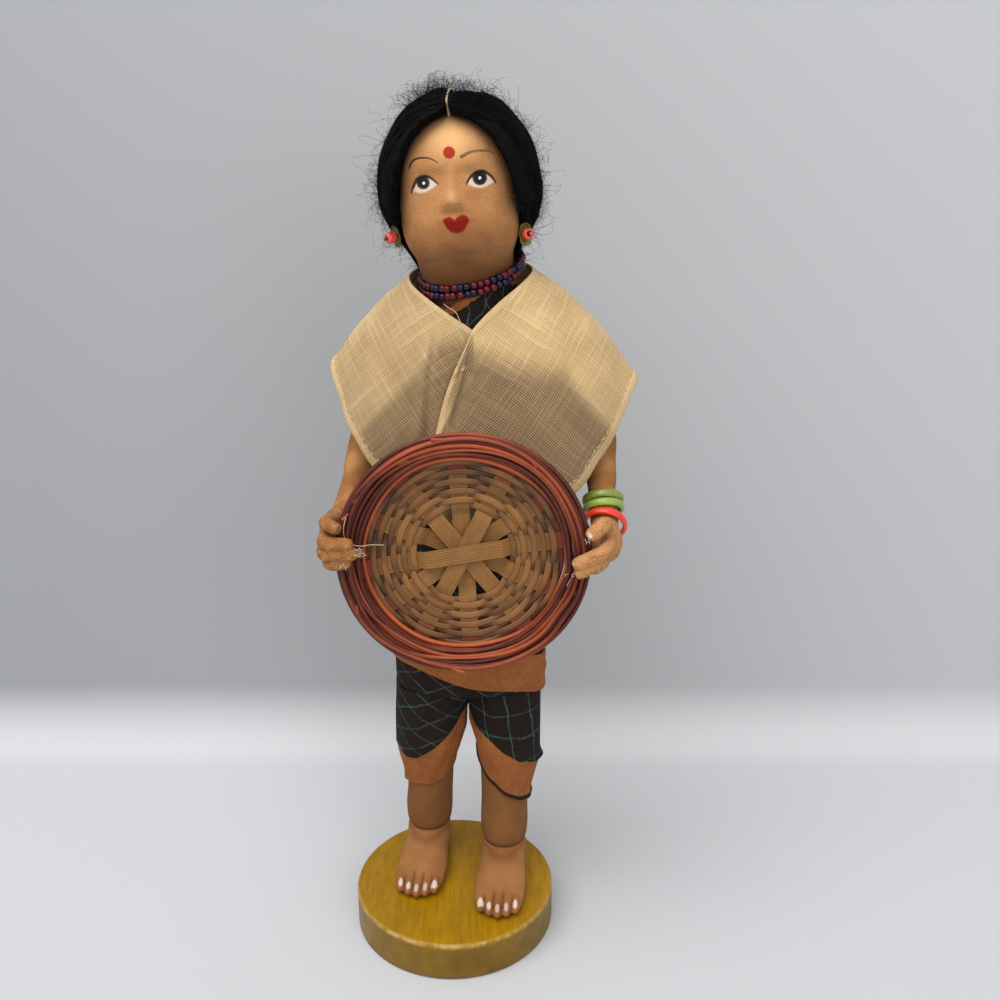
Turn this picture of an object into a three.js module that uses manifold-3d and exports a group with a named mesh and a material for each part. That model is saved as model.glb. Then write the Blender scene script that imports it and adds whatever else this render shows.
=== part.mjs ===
// A stuffed cloth doll of a basket carrier on a painted wooden disc
// Millimetres, +Z up, the face towards -Y, the origin at the centre of the disc's underside
// Left and right are the doll's own: its left is +X

import * as THREE from 'three';
import { mergeVertices } from 'three/addons/utils/BufferGeometryUtils.js';
import Module from 'manifold-3d';

const wasm = await Module();
wasm.setup();

// Clearances and cloth
const gap = 0.3;
const clothThick = 0.7;
const threadDiameter = 0.9;

// Wooden disc
const discRadius = 33.6;
const discHeight = 13.5;
const discEdge = 0.9;

// Armature wires
const wireDiameter = 2;
const legSocketDepth = 9;

// Feet and legs, with heights above the disc
const footLength = 41.5;
const footWidth = 17;
const footHeel = 9;
const toeHeight = 4.6;
const ankleHeight = 10;
const ankleDiameter = 15.6;
const thighDiameter = 18;
const hipHeight = 71;
const rightAnkle = { x: -9.9, y: 19.5, turn: 5 };
const leftAnkle = { x: 17.1, y: 9.5, turn: 4.5 };

// Torso
const bodyX = 5;
const bodyY = 12.5;
const bodyLean = 3.5;
const hipHalfWidth = 23.8;
const waistHalfWidth = 18.5;
const chestHalfWidth = 20.5;
const hipHalfDepth = 13.6;
const waistHalfDepth = 12.2;
const chestHalfDepth = 12.8;
const waistHeight = 115;
const chestHeight = 160;
const shoulderHeight = 186;
const torsoTop = 197;

// Neck and head
const neckHalfWidth = 13.3;
const neckHalfDepth = 12.5;
const neckCentre = { x: 7, y: 12 };
const headCentre = new THREE.Vector3(3.8, 9.5, 229.3);
const headTip = 15;
const headRoll = -5.5;
const headTurn = -5;
const headHalfWidth = 16.8;
const headHalfDepth = 17.2;
const headHalfHeight = 21;
const coreShare = 0.72;

// Hair
const hairSide = 6.8;
const hairTop = 7.4;
const hairBack = 6;
const partingWidth = 0.8;
const neckHairFront = 7;
const neckHairTop = 14;
const bunRadius = 9.5;
const bunDepth = 6.5;

// Earrings
const earBeadDiameter = 3.4;
const sequinLength = 6.6;
const sequinWidth = 4;
const sequinThick = 0.5;
const earPinDiameter = 0.8;
const rightEar = { bead: [-15.9, 5.2, 215.7], axis: [-0.8, -0.56, -0.2] };
const leftEar = { bead: [23.6, 1.5, 217.1], axis: [0.34, -0.93, 0.12] };
const earPinLength = 9;

// Necklace
const beadDiameter = 2.45;
const beadsPerStrand = 36;
const necklaceHeight = 204.6;
const necklaceSlopeX = 0.2;
const necklaceSlopeY = 0.26;

// Basket, in its own frame: the tray in the XY plane, its open side towards +Z
const basketHub = { x: 5, y: -17, z: 127.2 };
const basketLean = 3;
const basketRadius = 37.3;
const basketDish = 4;
const splintWidth = 5.2;
const splintThick = 0.45;
const splintPitch = 0.8;
const splintAngles = [9, 63, 129, 35, 94, 158];
const hubRadius = 11;
const weaveInner = 14.4;
const weaveThick = 0.7;
const rimLoops = 5;
const rimCane = 1.45;
const rimPitch = 1.92;
const tiltRoom = 1;

// Arms, each from the shoulder by the elbow to the wrist
const shoulderDiameter = 14.5;
const elbowDiameter = 12.4;
const wristDiameter = 8.4;
const wristLength = 9;
const rightGrip = basketHub.x - basketRadius;
const leftGrip = basketHub.x + basketRadius;
const rightArm = {
  shoulder: [-9, 13.5, 187], elbow: [-23.8, 19, 161], wrist: [rightGrip + 1.1, -1.5, 135.5],
};
const leftArm = { shoulder: [27, 13.5, 187], elbow: [46.2, 19, 158], wrist: [leftGrip + 5.4, -3.5, 130.8] };
const rightPalm = { centre: [rightGrip - 0.9, -11.5, 131.4], radii: [5, 9.4, 6.2] };
const leftPalm = { centre: [leftGrip + 4.7, -12.5, 129.4], radii: [5, 8.6, 6] };

// Bangles
const bangleHeight = 2.5;
const bangleRadial = 1.5;
const greenBangleBore = 9.9;
const redBangleBore = 10.8;
const redBangleTilt = 20;
const redBangleTurn = 12;

// Sari
const wrapTop = 117;
const legClothTop = hipHeight - 2 * gap;
const bandHeight = 12.2;
const bandRise = 4.6;
const bandSlope = 6.6;
const cuffFlare = 3.2;
const bodySides = 20;

const degrees = Math.PI / 180;
const vector = (x, y, z) => new THREE.Vector3(x, y, z);
const fromList = (list) => new THREE.Vector3(...list);

// Solids

// Closes a list of points and faces into one outward-facing body
function closedBody(points, faces) {
  const geometry = new THREE.BufferGeometry();
  const positions = points.flatMap((point) => [point.x, point.y, point.z]);
  let volume = 0;
  for (let i = 0; i < faces.length; i += 3) {
    const [a, b, c] = [points[faces[i]], points[faces[i + 1]], points[faces[i + 2]]];
    volume += a.dot(b.clone().cross(c));
  }
  const ordered = volume < 0 ? faces.slice().reverse() : faces;
  geometry.setAttribute('position', new THREE.Float32BufferAttribute(positions, 3));
  geometry.setIndex(ordered);
  return geometry;
}

// Faces between neighbouring rings of one list, joined end to end when looped
function ringFaces(count, sides, looped) {
  const faces = [];
  const spans = looped ? count : count - 1;
  for (let r = 0; r < spans; r += 1) {
    const near = r * sides;
    const far = ((r + 1) % count) * sides;
    for (let s = 0; s < sides; s += 1) {
      const next = (s + 1) % sides;
      faces.push(near + s, near + next, far + next, near + s, far + next, far + s);
    }
  }
  return faces;
}

// A skin over a stack of rings, with a fan over each end
function loft(rings) {
  const sides = rings[0].length;
  const points = rings.flat();
  const faces = ringFaces(rings.length, sides, false);
  const ends = [rings[0], rings[rings.length - 1]];
  ends.forEach((ring, end) => {
    const centre = vector(0, 0, 0);
    ring.forEach((point) => centre.addScaledVector(point, 1 / sides));
    const first = end === 0 ? 0 : (rings.length - 1) * sides;
    points.push(centre);
    for (let s = 0; s < sides; s += 1) {
      const next = (s + 1) % sides;
      const pair = end === 0 ? [first + next, first + s] : [first + s, first + next];
      faces.push(pair[0], pair[1], points.length - 1);
    }
  });
  return closedBody(points, faces);
}

// Rings that close on the first one again, as a torus does
function loopOf(rings) {
  return closedBody(rings.flat(), ringFaces(rings.length, rings[0].length, true));
}

// A cloth tube: outer rings from the top down, and inner rings back up
function clothTube(rows, ringAt) {
  const outer = [];
  const inner = [];
  for (let row = 0; row <= rows; row += 1) {
    outer.push(ringAt(row / rows, clothThick));
    inner.unshift(ringAt(row / rows, 0));
  }
  return loopOf([...outer, ...inner]);
}

function ellipseRing(centre, sideways, across, sides) {
  const ring = [];
  for (let s = 0; s < sides; s += 1) {
    const angle = (s / sides) * 2 * Math.PI;
    const point = centre.clone().addScaledVector(sideways, Math.cos(angle));
    ring.push(point.addScaledVector(across, Math.sin(angle)));
  }
  return ring;
}

// A round tube along a curve whose radius changes on the way
function limb(curve, radiusAt, sides, steps) {
  const frames = curve.computeFrenetFrames(steps, false);
  const rings = [];
  for (let i = 0; i <= steps; i += 1) {
    const radius = radiusAt(i / steps);
    const sideways = frames.normals[i].clone().multiplyScalar(radius);
    const across = frames.binormals[i].clone().multiplyScalar(radius);
    rings.push(ellipseRing(curve.getPointAt(i / steps), sideways, across, sides));
  }
  return loft(rings);
}

function straightPath(points) {
  const path = new THREE.CurvePath();
  for (let i = 1; i < points.length; i += 1) {
    path.add(new THREE.LineCurve3(points[i - 1], points[i]));
  }
  return path;
}

function ellipsoid(centre, radii, sides, rings) {
  const geometry = new THREE.SphereGeometry(1, sides, rings);
  geometry.scale(...radii);
  geometry.translate(centre.x, centre.y, centre.z);
  return geometry;
}

function solidOf(geometry) {
  const bare = geometry.clone();
  bare.deleteAttribute('normal');
  bare.deleteAttribute('uv');
  const merged = mergeVertices(bare, 1e-4);
  const vertProperties = new Float32Array(merged.attributes.position.array);
  const triVerts = new Uint32Array(merged.index.array);
  return new wasm.Manifold(new wasm.Mesh({ numProp: 3, vertProperties, triVerts }));
}

function geometryOf(solid) {
  const mesh = solid.getMesh();
  const geometry = new THREE.BufferGeometry();
  geometry.setAttribute('position', new THREE.Float32BufferAttribute(mesh.vertProperties, 3));
  geometry.setIndex(new THREE.BufferAttribute(mesh.triVerts, 1));
  return geometry;
}

function joined(...geometries) {
  return geometryOf(geometries.map(solidOf).reduce((all, one) => all.add(one)));
}

function cut(geometry, ...tools) {
  return geometryOf(tools.map(solidOf).reduce((left, tool) => left.subtract(tool), solidOf(geometry)));
}

// Values between the stations of a list that is sorted by height
function between(stations, height) {
  const last = stations.length - 1;
  let i = 0;
  while (i < last - 1 && stations[i + 1].z < height) {
    i += 1;
  }
  const [low, high] = [stations[i], stations[i + 1]];
  const share = THREE.MathUtils.clamp((height - low.z) / (high.z - low.z), 0, 1);
  const mixed = {};
  Object.keys(low).forEach((key) => {
    mixed[key] = THREE.MathUtils.lerp(low[key], high[key], share);
  });
  return mixed;
}

const root = new THREE.Group();
const figure = new THREE.Group();
figure.position.z = discHeight;
root.add(figure);

function piece(name, geometry, colour, roughness, parent = figure, metalness = 0) {
  const material = new THREE.MeshStandardMaterial({ color: colour, roughness, metalness });
  const mesh = new THREE.Mesh(geometry, material);
  mesh.name = name;
  parent.add(mesh);
  return mesh;
}

const skinColour = 0xb8865c;
const blackCloth = 0x17181a;
const orangeCloth = 0xc47b45;
const shawlColour = 0xcfb283;
const hairColour = 0x141316;
const wireColour = 0x8a8c90;

// Armature: a wire up each leg, one up the spine and one across from wrist to wrist

function legAxis(ankle, side, height) {
  const share = (height - ankleHeight) / (hipHeight - ankleHeight);
  const hip = bodyX + side * (hipHalfWidth / 2 + gap);
  return vector(
    THREE.MathUtils.lerp(ankle.x, hip, share),
    THREE.MathUtils.lerp(ankle.y, bodyY + 1, share),
    height,
  );
}

function legWire(ankle, side, extra) {
  const path = straightPath([
    vector(ankle.x, ankle.y, -legSocketDepth - extra),
    legAxis(ankle, side, ankleHeight),
    legAxis(ankle, side, hipHeight + 8 + extra),
  ]);
  return limb(path, () => wireDiameter / 2 + extra, 6, 8);
}

const spineFoot = vector(bodyX + 0.5, bodyY, hipHeight + 30);
const spineNeck = vector(neckCentre.x, neckCentre.y, torsoTop);

function spineWire(extra) {
  const top = headCentre.clone().add(vector(0.4, 1, 2 + extra));
  const path = straightPath([spineFoot.clone().add(vector(0, 0, -extra)), spineNeck, top]);
  return limb(path, () => wireDiameter / 2 + extra, 6, 8);
}

function armWire(extra) {
  const middle = fromList(rightArm.shoulder).add(fromList(leftArm.shoulder)).multiplyScalar(0.5);
  middle.setY(bodyY - 4);
  const ends = [rightArm, leftArm].map((arm) => {
    const down = fromList(arm.wrist).sub(fromList(arm.elbow)).normalize();
    return fromList(arm.wrist).addScaledVector(down, 3 + extra);
  });
  const path = straightPath([
    ends[0],
    fromList(rightArm.elbow),
    fromList(rightArm.shoulder),
    middle,
    fromList(leftArm.shoulder),
    fromList(leftArm.elbow),
    ends[1],
  ]);
  return limb(path, () => wireDiameter / 2 + extra, 6, 24);
}

const sides = [
  { name: 'right', side: -1, ankle: rightAnkle, arm: rightArm, palm: rightPalm, ear: rightEar },
  { name: 'left', side: 1, ankle: leftAnkle, arm: leftArm, palm: leftPalm, ear: leftEar },
];

for (const { name, side, ankle } of sides) {
  piece(`leg_wire_${name}`, legWire(ankle, side, 0), wireColour, 0.4, figure, 1);
}
piece('spine_wire', spineWire(0), wireColour, 0.4, figure, 1);
piece('arm_wire', armWire(0), wireColour, 0.4, figure, 1);

// Wooden disc with a blind socket under each foot

const discOutline = [
  new THREE.Vector2(0, 0),
  new THREE.Vector2(discRadius - discEdge, 0),
  new THREE.Vector2(discRadius, discEdge),
  new THREE.Vector2(discRadius, discHeight - discEdge),
  new THREE.Vector2(discRadius - discEdge, discHeight),
  new THREE.Vector2(0, discHeight),
];
const disc = new THREE.LatheGeometry(discOutline, 48).rotateX(Math.PI / 2);
const sockets = sides.map(({ ankle, side }) => legWire(ankle, side, gap).translate(0, 0, discHeight));
piece('base_disc', cut(disc, ...sockets), 0xa07d1c, 0.35, root);

// Torso

function torsoStation(height) {
  return between([
    { z: hipHeight, width: hipHalfWidth * 0.8, depth: hipHalfDepth * 0.75 },
    { z: hipHeight + 3, width: hipHalfWidth * 0.95, depth: hipHalfDepth * 0.95 },
    { z: hipHeight + 8, width: hipHalfWidth, depth: hipHalfDepth },
    { z: hipHeight + 24, width: hipHalfWidth * 0.97, depth: hipHalfDepth },
    { z: waistHeight, width: waistHalfWidth, depth: waistHalfDepth },
    { z: chestHeight, width: chestHalfWidth, depth: chestHalfDepth },
    { z: shoulderHeight, width: chestHalfWidth * 0.96, depth: chestHalfDepth * 0.95 },
    { z: (shoulderHeight + torsoTop) / 2, width: chestHalfWidth * 0.84, depth: neckHalfDepth },
    { z: torsoTop, width: neckHalfWidth, depth: neckHalfDepth - 0.6 },
  ], height);
}

function bodyCentre(height) {
  const share = (height - hipHeight) / (torsoTop - hipHeight);
  return vector(bodyX + bodyLean * share, bodyY, height);
}

function bodyRing(height, grow) {
  const { width, depth } = torsoStation(height);
  return ellipseRing(bodyCentre(height), vector(width + grow, 0, 0), vector(0, depth + grow, 0), bodySides);
}

const torsoHeights = [
  hipHeight, hipHeight + 3, hipHeight + 8, hipHeight + 24, waistHeight, chestHeight,
  shoulderHeight, (shoulderHeight + torsoTop) / 2, torsoTop,
];

function torsoSolid(grow) {
  const rings = torsoHeights.map((height) => bodyRing(height, grow));
  rings[0].forEach((point) => point.setZ(point.z - grow));
  rings[rings.length - 1].forEach((point) => point.setZ(point.z + grow));
  return loft(rings);
}

const wireEnvelopes = [
  spineWire(gap),
  armWire(gap),
  ...sides.map(({ ankle, side }) => legWire(ankle, side, gap)),
];
piece('torso', cut(torsoSolid(0), ...wireEnvelopes), skinColour, 0.9);

// Feet and legs

function footSolid(ankle) {
  const outline = [
    { z: 0, width: 0.42, height: 0.34 },
    { z: 0.06, width: 0.66, height: 0.78 },
    { z: 0.2, width: 0.84, height: 1 },
    { z: 0.38, width: 0.88, height: 1 },
    { z: 0.58, width: 0.95, height: 0.78 },
    { z: 0.78, width: 1, height: 0.52 },
    { z: 0.92, width: 0.97, height: 0.42 },
  ];
  const rings = outline.map(({ z, width, height }) => {
    const ring = [];
    for (let s = 0; s < 12; s += 1) {
      const angle = (s / 12) * 2 * Math.PI;
      const rise = Math.max(Math.sin(angle), -0.7) + 0.7;
      const x = Math.cos(angle) * width * footWidth / 2;
      ring.push(vector(x, footHeel - z * footLength, gap + rise * height * ankleHeight / 1.7));
    }
    return ring;
  });
  const toes = [-2, -1, 0, 1, 2].map((toe) => {
    const radius = toeHeight / 2 * (Math.abs(toe) === 2 ? 0.86 : 0.78);
    const reach = footHeel - footLength + radius + Math.abs(toe) * 0.9;
    const centre = vector(toe * footWidth * 0.195, reach + 2, gap + toeHeight / 2);
    return ellipsoid(centre, [footWidth * 0.105, radius + 2.4, toeHeight / 2], 6, 4);
  });
  const column = loft([0.2, 1].map((share) => ellipseRing(
    vector(0, 0, ankleHeight * share),
    vector(ankleDiameter / 2, 0, 0),
    vector(0, ankleDiameter / 2, 0),
    14,
  )));
  const foot = joined(loft(rings), column, ...toes);
  foot.rotateZ(-ankle.turn * degrees);
  foot.translate(ankle.x, ankle.y, 0);
  return foot;
}

function legSolid(ankle, side) {
  const top = hipHeight + 5;
  const foot = ankleHeight + gap;
  const rings = [0, 0.03, 0.12, 0.3, 0.55, 0.8, 1].map((share) => {
    const height = THREE.MathUtils.lerp(foot, top, share);
    const fold = share === 0 ? -0.5 : 0;
    const radius = THREE.MathUtils.lerp(ankleDiameter, thighDiameter, share ** 1.6) / 2 + fold;
    return ellipseRing(legAxis(ankle, side, height), vector(radius, 0, 0), vector(0, radius, 0), 14);
  });
  return loft(rings);
}

for (const { name, side, ankle } of sides) {
  const bore = legWire(ankle, side, gap);
  piece(`foot_${name}`, cut(footSolid(ankle), bore), skinColour, 0.7);
  piece(`leg_${name}`, cut(legSolid(ankle, side), torsoSolid(gap), bore), skinColour, 0.85);
}

// Arms, thick at the shoulder and straight where the bangles ride

function armCurve(arm) {
  const [shoulder, elbow, wrist] = [arm.shoulder, arm.elbow, arm.wrist].map(fromList);
  const bend = 0.22;
  const above = elbow.clone().lerp(shoulder, bend);
  const below = elbow.clone().lerp(wrist, bend);
  const path = new THREE.CurvePath();
  path.add(new THREE.LineCurve3(shoulder, above));
  path.add(new THREE.QuadraticBezierCurve3(above, elbow, below));
  path.add(new THREE.LineCurve3(below, wrist));
  return path;
}

function armSolid(arm, grow) {
  const curve = armCurve(arm);
  const length = curve.getLength();
  const radiusAt = (share) => {
    const left = (1 - share) * length - wristLength;
    const half = length / 2;
    const narrow = THREE.MathUtils.clamp(left / (half - wristLength), 0, 1);
    const wide = THREE.MathUtils.clamp((left + wristLength - half) / half, 0, 1);
    const forearm = THREE.MathUtils.lerp(wristDiameter, elbowDiameter, narrow);
    return THREE.MathUtils.lerp(forearm, shoulderDiameter, wide) / 2 + grow;
  };
  return limb(curve, radiusAt, 12, 10);
}

// Basket frame, and the space that its rim needs when it tilts

const basket = new THREE.Group();
basket.position.set(basketHub.x, basketHub.y, basketHub.z);
basket.rotation.x = (90 - basketLean) * degrees;
figure.add(basket);
basket.updateMatrix();

const dishAt = (radius) => basketDish * (radius / basketRadius) ** 3;
const rimInner = basketRadius - rimCane / 2 - (rimLoops - 0.5) * rimPitch;
const rimFace = splintThick / 2 + gap + rimCane / 2;
const weaveOuter = rimInner - rimCane / 2 - gap;

function rimEnvelope() {
  const low = dishAt(weaveInner) - 2 * tiltRoom;
  const high = basketDish + rimFace + rimCane / 2 + tiltRoom;
  const edge = basketRadius + gap;
  const corners = [[weaveInner, low], [edge, low], [edge, high], [weaveInner, high], [weaveInner, low]];
  const profile = corners.map((corner) => new THREE.Vector2(...corner));
  return new THREE.LatheGeometry(profile, 48).rotateX(Math.PI / 2).applyMatrix4(basket.matrix);
}

// Hands that close round the basket's rim: a palm outside it, and fingers in front

function finger(points, radius, grip) {
  const curve = new THREE.CatmullRomCurve3(points.map(([x, y, z]) => vector(grip + x, y, z)));
  return limb(curve, (share) => radius * (share > 0.95 ? 0.6 : 1.05 - 0.2 * share), 6, 5);
}

// Each finger's points: how far beyond the basket's rim, and where along it
const leftFingers = [
  { radius: 2.3, points: [[4.2, -13, 133.5], [3.3, -21.5, 137.4], [-1.5, -25.2, 134.8]] },
  { radius: 2.4, points: [[5.2, -17, 131.4], [3.1, -24.8, 130.4], [-5.7, -25.6, 126.2]] },
  { radius: 2.2, points: [[4.2, -16, 129.4], [2.3, -24, 127.2], [-4.9, -25.4, 123.4]] },
  { radius: 2.1, points: [[3.2, -14, 128], [3.3, -22, 126.4], [-0.5, -25.2, 124.8]] },
];
const rightFingers = [
  { radius: 2.1, points: [[-0.7, -12, 136], [-2.3, -21.5, 138], [2.3, -25.2, 137.2]] },
  { radius: 2.3, points: [[-2.2, -16, 133], [-2.1, -24.8, 133], [5.9, -25.8, 132.8]] },
  { radius: 2.3, points: [[-2.2, -15, 130.5], [-2.3, -24.4, 129.6], [7.3, -25.7, 130.2]] },
  { radius: 2.2, points: [[-1.7, -14, 128.5], [-1.3, -23.4, 126.4], [4.9, -25.3, 127.6]] },
];

function handSolid(arm, palm, fingers, grip) {
  const middle = ellipsoid(vector(0, 0, 0), palm.radii, 10, 6);
  const drop = Math.atan2(arm.wrist[2] - palm.centre[2], arm.wrist[1] - palm.centre[1]);
  middle.rotateX(drop);
  middle.translate(...palm.centre);
  const wrist = fromList(arm.wrist);
  const start = wrist.clone().addScaledVector(fromList(arm.wrist).sub(fromList(arm.elbow)).normalize(), gap);
  const stub = new THREE.LineCurve3(start, fromList(palm.centre));
  const wide = (share) => wristDiameter / 2 + share * 0.6;
  const parts = fingers.map(({ points, radius }) => finger(points, radius, grip));
  return joined(limb(stub, wide, 10, 1), middle, ...parts);
}

for (const { name, side, arm, palm } of sides) {
  const hand = side < 0
    ? handSolid(arm, palm, rightFingers, rightGrip)
    : handSolid(arm, palm, leftFingers, leftGrip);
  piece(`arm_${name}`, cut(armSolid(arm, 0), torsoSolid(gap), armWire(gap)), skinColour, 0.85);
  piece(`hand_${name}`, cut(hand, armSolid(arm, gap), armWire(gap), rimEnvelope()), skinColour, 0.8);
}

// Bangles on the left forearm, the red one lowest and tilted on the wrist

function bangle(bore) {
  const rings = [];
  for (let i = 0; i < 22; i += 1) {
    const angle = (i / 22) * 2 * Math.PI;
    const out = vector(Math.cos(angle), Math.sin(angle), 0);
    const centre = out.clone().multiplyScalar((bore + bangleRadial) / 2);
    const thick = out.clone().multiplyScalar(bangleRadial / 2);
    rings.push(ellipseRing(centre, thick, vector(0, 0, bangleHeight / 2), 6));
  }
  return loopOf(rings);
}

const forearmUp = fromList(leftArm.elbow).sub(fromList(leftArm.wrist)).normalize();
const redSpread = Math.sin(redBangleTilt * degrees) * (redBangleBore / 2 + bangleRadial);
const bangleStack = [
  { name: 'bangle_red', bore: redBangleBore, colour: 0xe0402c, along: 0.6, tilt: redBangleTilt },
  { name: 'bangle_green_lower', bore: greenBangleBore, colour: 0x8db257, along: 0, tilt: 0 },
  { name: 'bangle_green_upper', bore: greenBangleBore, colour: 0x8db257, along: 0, tilt: 0 },
];
bangleStack[1].along = bangleStack[0].along + bangleHeight + redSpread + gap;
bangleStack[2].along = bangleStack[1].along + bangleHeight + gap;
for (const { name, bore, colour, along, tilt } of bangleStack) {
  const mesh = piece(name, bangle(bore), colour, 0.25);
  const turn = tilt > 0 ? redBangleTurn : 0;
  mesh.quaternion.setFromUnitVectors(vector(0, 0, 1), forearmUp);
  mesh.rotateX(-tilt * degrees);
  mesh.rotateY(turn * degrees);
  mesh.position.copy(fromList(leftArm.wrist).addScaledVector(forearmUp, along));
}

// Basket: six flat splints crossing at the hub, woven rows and a wound cane rim

function splint(layer, angle) {
  const reach = rimInner + 2 * rimPitch;
  const steps = 18;
  const rings = [];
  for (let i = 0; i <= steps; i += 1) {
    const along = (i / steps * 2 - 1) * reach;
    const radius = Math.abs(along);
    const ease = THREE.MathUtils.smoothstep(radius, hubRadius, weaveInner);
    const height = dishAt(radius) + layer * splintPitch * (1 - ease);
    const half = splintWidth / 2;
    rings.push([
      vector(along, -half, height - splintThick / 2),
      vector(along, half, height - splintThick / 2),
      vector(along, half, height + splintThick / 2),
      vector(along, -half, height + splintThick / 2),
    ]);
  }
  return loft(rings).rotateZ(angle * degrees);
}

splintAngles.forEach((angle, i) => {
  const layer = (splintAngles.length - 1) / 2 - i;
  piece(`basket_splint_${i + 1}`, splint(layer, angle), 0xa98352, 0.7, basket);
});

function weaveLayer(side) {
  const near = side * (splintThick / 2 + gap);
  const far = side * (splintThick / 2 + gap + weaveThick);
  const radii = [0, 1, 2].map((i) => THREE.MathUtils.lerp(weaveInner + 0.6, weaveOuter, i / 2));
  const points = radii.map((radius) => new THREE.Vector2(radius, dishAt(radius) + near));
  const back = radii.map((radius) => new THREE.Vector2(radius, dishAt(radius) + far)).reverse();
  const profile = [...points, ...back, points[0].clone()];
  const ordered = side > 0 ? profile : profile.reverse();
  return new THREE.LatheGeometry(ordered, 24).rotateX(Math.PI / 2);
}

piece('basket_weave_front', weaveLayer(1), 0xa98352, 0.7, basket);
piece('basket_weave_back', weaveLayer(-1), 0xa98352, 0.7, basket);

// The cane winds outwards in front of the splints, one loop beside the other
function rimPoint(turn) {
  const radius = rimInner + turn * rimPitch;
  const angle = turn * 2 * Math.PI;
  return vector(Math.cos(angle) * radius, Math.sin(angle) * radius, dishAt(radius) + rimFace);
}

function rimWinding() {
  const turns = rimLoops - 0.5;
  const steps = Math.round(turns * 24);
  const rings = [];
  for (let i = 0; i <= steps; i += 1) {
    const turn = (i / steps) * turns;
    const out = vector(Math.cos(turn * 2 * Math.PI), Math.sin(turn * 2 * Math.PI), 0);
    out.multiplyScalar(rimCane / 2);
    rings.push(ellipseRing(rimPoint(turn), out, vector(0, 0, rimCane / 2), 6));
  }
  return loft(rings);
}

function leastRimGap() {
  let least = Infinity;
  for (let turn = 0; turn <= rimLoops - 1.5; turn += 1 / 48) {
    for (let shift = -0.1; shift <= 0.1; shift += 1 / 96) {
      const other = THREE.MathUtils.clamp(turn + 1 + shift, 0, rimLoops - 0.5);
      least = Math.min(least, rimPoint(turn).distanceTo(rimPoint(other)) - rimCane);
    }
  }
  return least;
}

piece('basket_rim_cane', rimWinding(), 0x8d4a2c, 0.6, basket);
console.log(`rim cane: least gap between loops ${leastRimGap().toFixed(2)} mm`);

// Head: a firm core in a stretched cloth cover that runs down the neck

const headTurnMatrix = new THREE.Matrix4().makeRotationFromEuler(
  new THREE.Euler(-headTip * degrees, headRoll * degrees, headTurn * degrees, 'ZYX'),
);
const headMatrix = new THREE.Matrix4().makeTranslation(headCentre).multiply(headTurnMatrix);

// Half width and half depth of the head as shares, from chin to crown
const headOutline = [
  { z: -1, width: 0.5, depth: 0.42, forward: 0.14 },
  { z: -0.92, width: 0.74, depth: 0.62, forward: 0.14 },
  { z: -0.75, width: 0.9, depth: 0.82, forward: 0.09 },
  { z: -0.5, width: 0.97, depth: 0.94, forward: 0.03 },
  { z: -0.2, width: 1, depth: 1, forward: 0 },
  { z: 0.15, width: 1, depth: 1.01, forward: 0 },
  { z: 0.45, width: 0.92, depth: 0.95, forward: 0 },
  { z: 0.7, width: 0.74, depth: 0.78, forward: 0 },
  { z: 0.87, width: 0.52, depth: 0.54, forward: 0 },
  { z: 0.97, width: 0.27, depth: 0.28, forward: 0 },
  { z: 1, width: 0.08, depth: 0.08, forward: 0 },
];

// Soft rises and hollows of the face, in millimetres forward of the egg shape
const faceForms = [
  { x: 0, z: -8.2, wide: 2.6, tall: 3, rise: 2.5 },
  { x: 0, z: -3, wide: 2, tall: 4, rise: 0.9 },
  { x: 0, z: -13, wide: 4.2, tall: 2, rise: 0.8 },
  { x: 0, z: -19, wide: 5, tall: 2.6, rise: 1 },
  { x: -6.6, z: 0, wide: 4, tall: 3, rise: -1 },
  { x: 6.6, z: 0, wide: 4, tall: 3, rise: -1 },
];

function faceRise(x, z) {
  return faceForms.reduce((sum, form) => {
    const far = ((x - form.x) / form.wide) ** 2 + ((z - form.z) / form.tall) ** 2;
    return sum + form.rise * Math.exp(-far);
  }, 0);
}

function headSolid(grow, count, rows) {
  const rings = [];
  for (let row = 0; row <= rows; row += 1) {
    const height = -Math.cos((row / rows) * Math.PI);
    const { width, depth, forward } = between(headOutline, height);
    const ring = [];
    for (let s = 0; s < count; s += 1) {
      const angle = (s / count) * 2 * Math.PI;
      const x = Math.cos(angle) * (width * headHalfWidth + grow);
      const z = height * (headHalfHeight + grow);
      const round = Math.sin(angle) * (depth * headHalfDepth + grow) - forward * headHalfDepth;
      const rise = Math.sin(angle) < 0 ? faceRise(x, z) * -Math.sin(angle) : 0;
      ring.push(vector(x, round - rise, z).applyMatrix4(headMatrix));
    }
    rings.push(ring);
  }
  return loft(rings);
}

function neckSolid(grow) {
  const foot = torsoTop + gap - grow;
  const top = headCentre.z - 6;
  const rings = [0, 0.5, 1].map((share) => ellipseRing(
    vector(
      THREE.MathUtils.lerp(neckCentre.x, headCentre.x + 1, share),
      THREE.MathUtils.lerp(neckCentre.y, headCentre.y + 2.5, share),
      THREE.MathUtils.lerp(foot, top, share),
    ),
    vector(neckHalfWidth + grow + share, 0, 0),
    vector(0, neckHalfDepth + grow, 0),
    20,
  ));
  return loft(rings);
}

function coreSolid(grow) {
  const radii = [headHalfWidth, headHalfDepth, headHalfHeight].map((half) => half * coreShare + grow);
  return ellipsoid(vector(0, 0, 0), radii, 12, 8).applyMatrix4(headMatrix);
}

const headSkin = joined(headSolid(0, 22, 14), neckSolid(0));
piece('head_core', cut(coreSolid(0), spineWire(gap)), 0xd9cfb8, 0.95);

// Earrings: a pin in the cheek that carries a sequin and a bead

function earPiece(ear, profile, segments) {
  const axis = fromList(ear.axis).normalize();
  const geometry = new THREE.LatheGeometry(profile, segments).rotateX(Math.PI / 2);
  const turn = new THREE.Quaternion().setFromUnitVectors(vector(0, 0, 1), axis);
  geometry.applyQuaternion(turn);
  return geometry.translate(...ear.bead);
}

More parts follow.
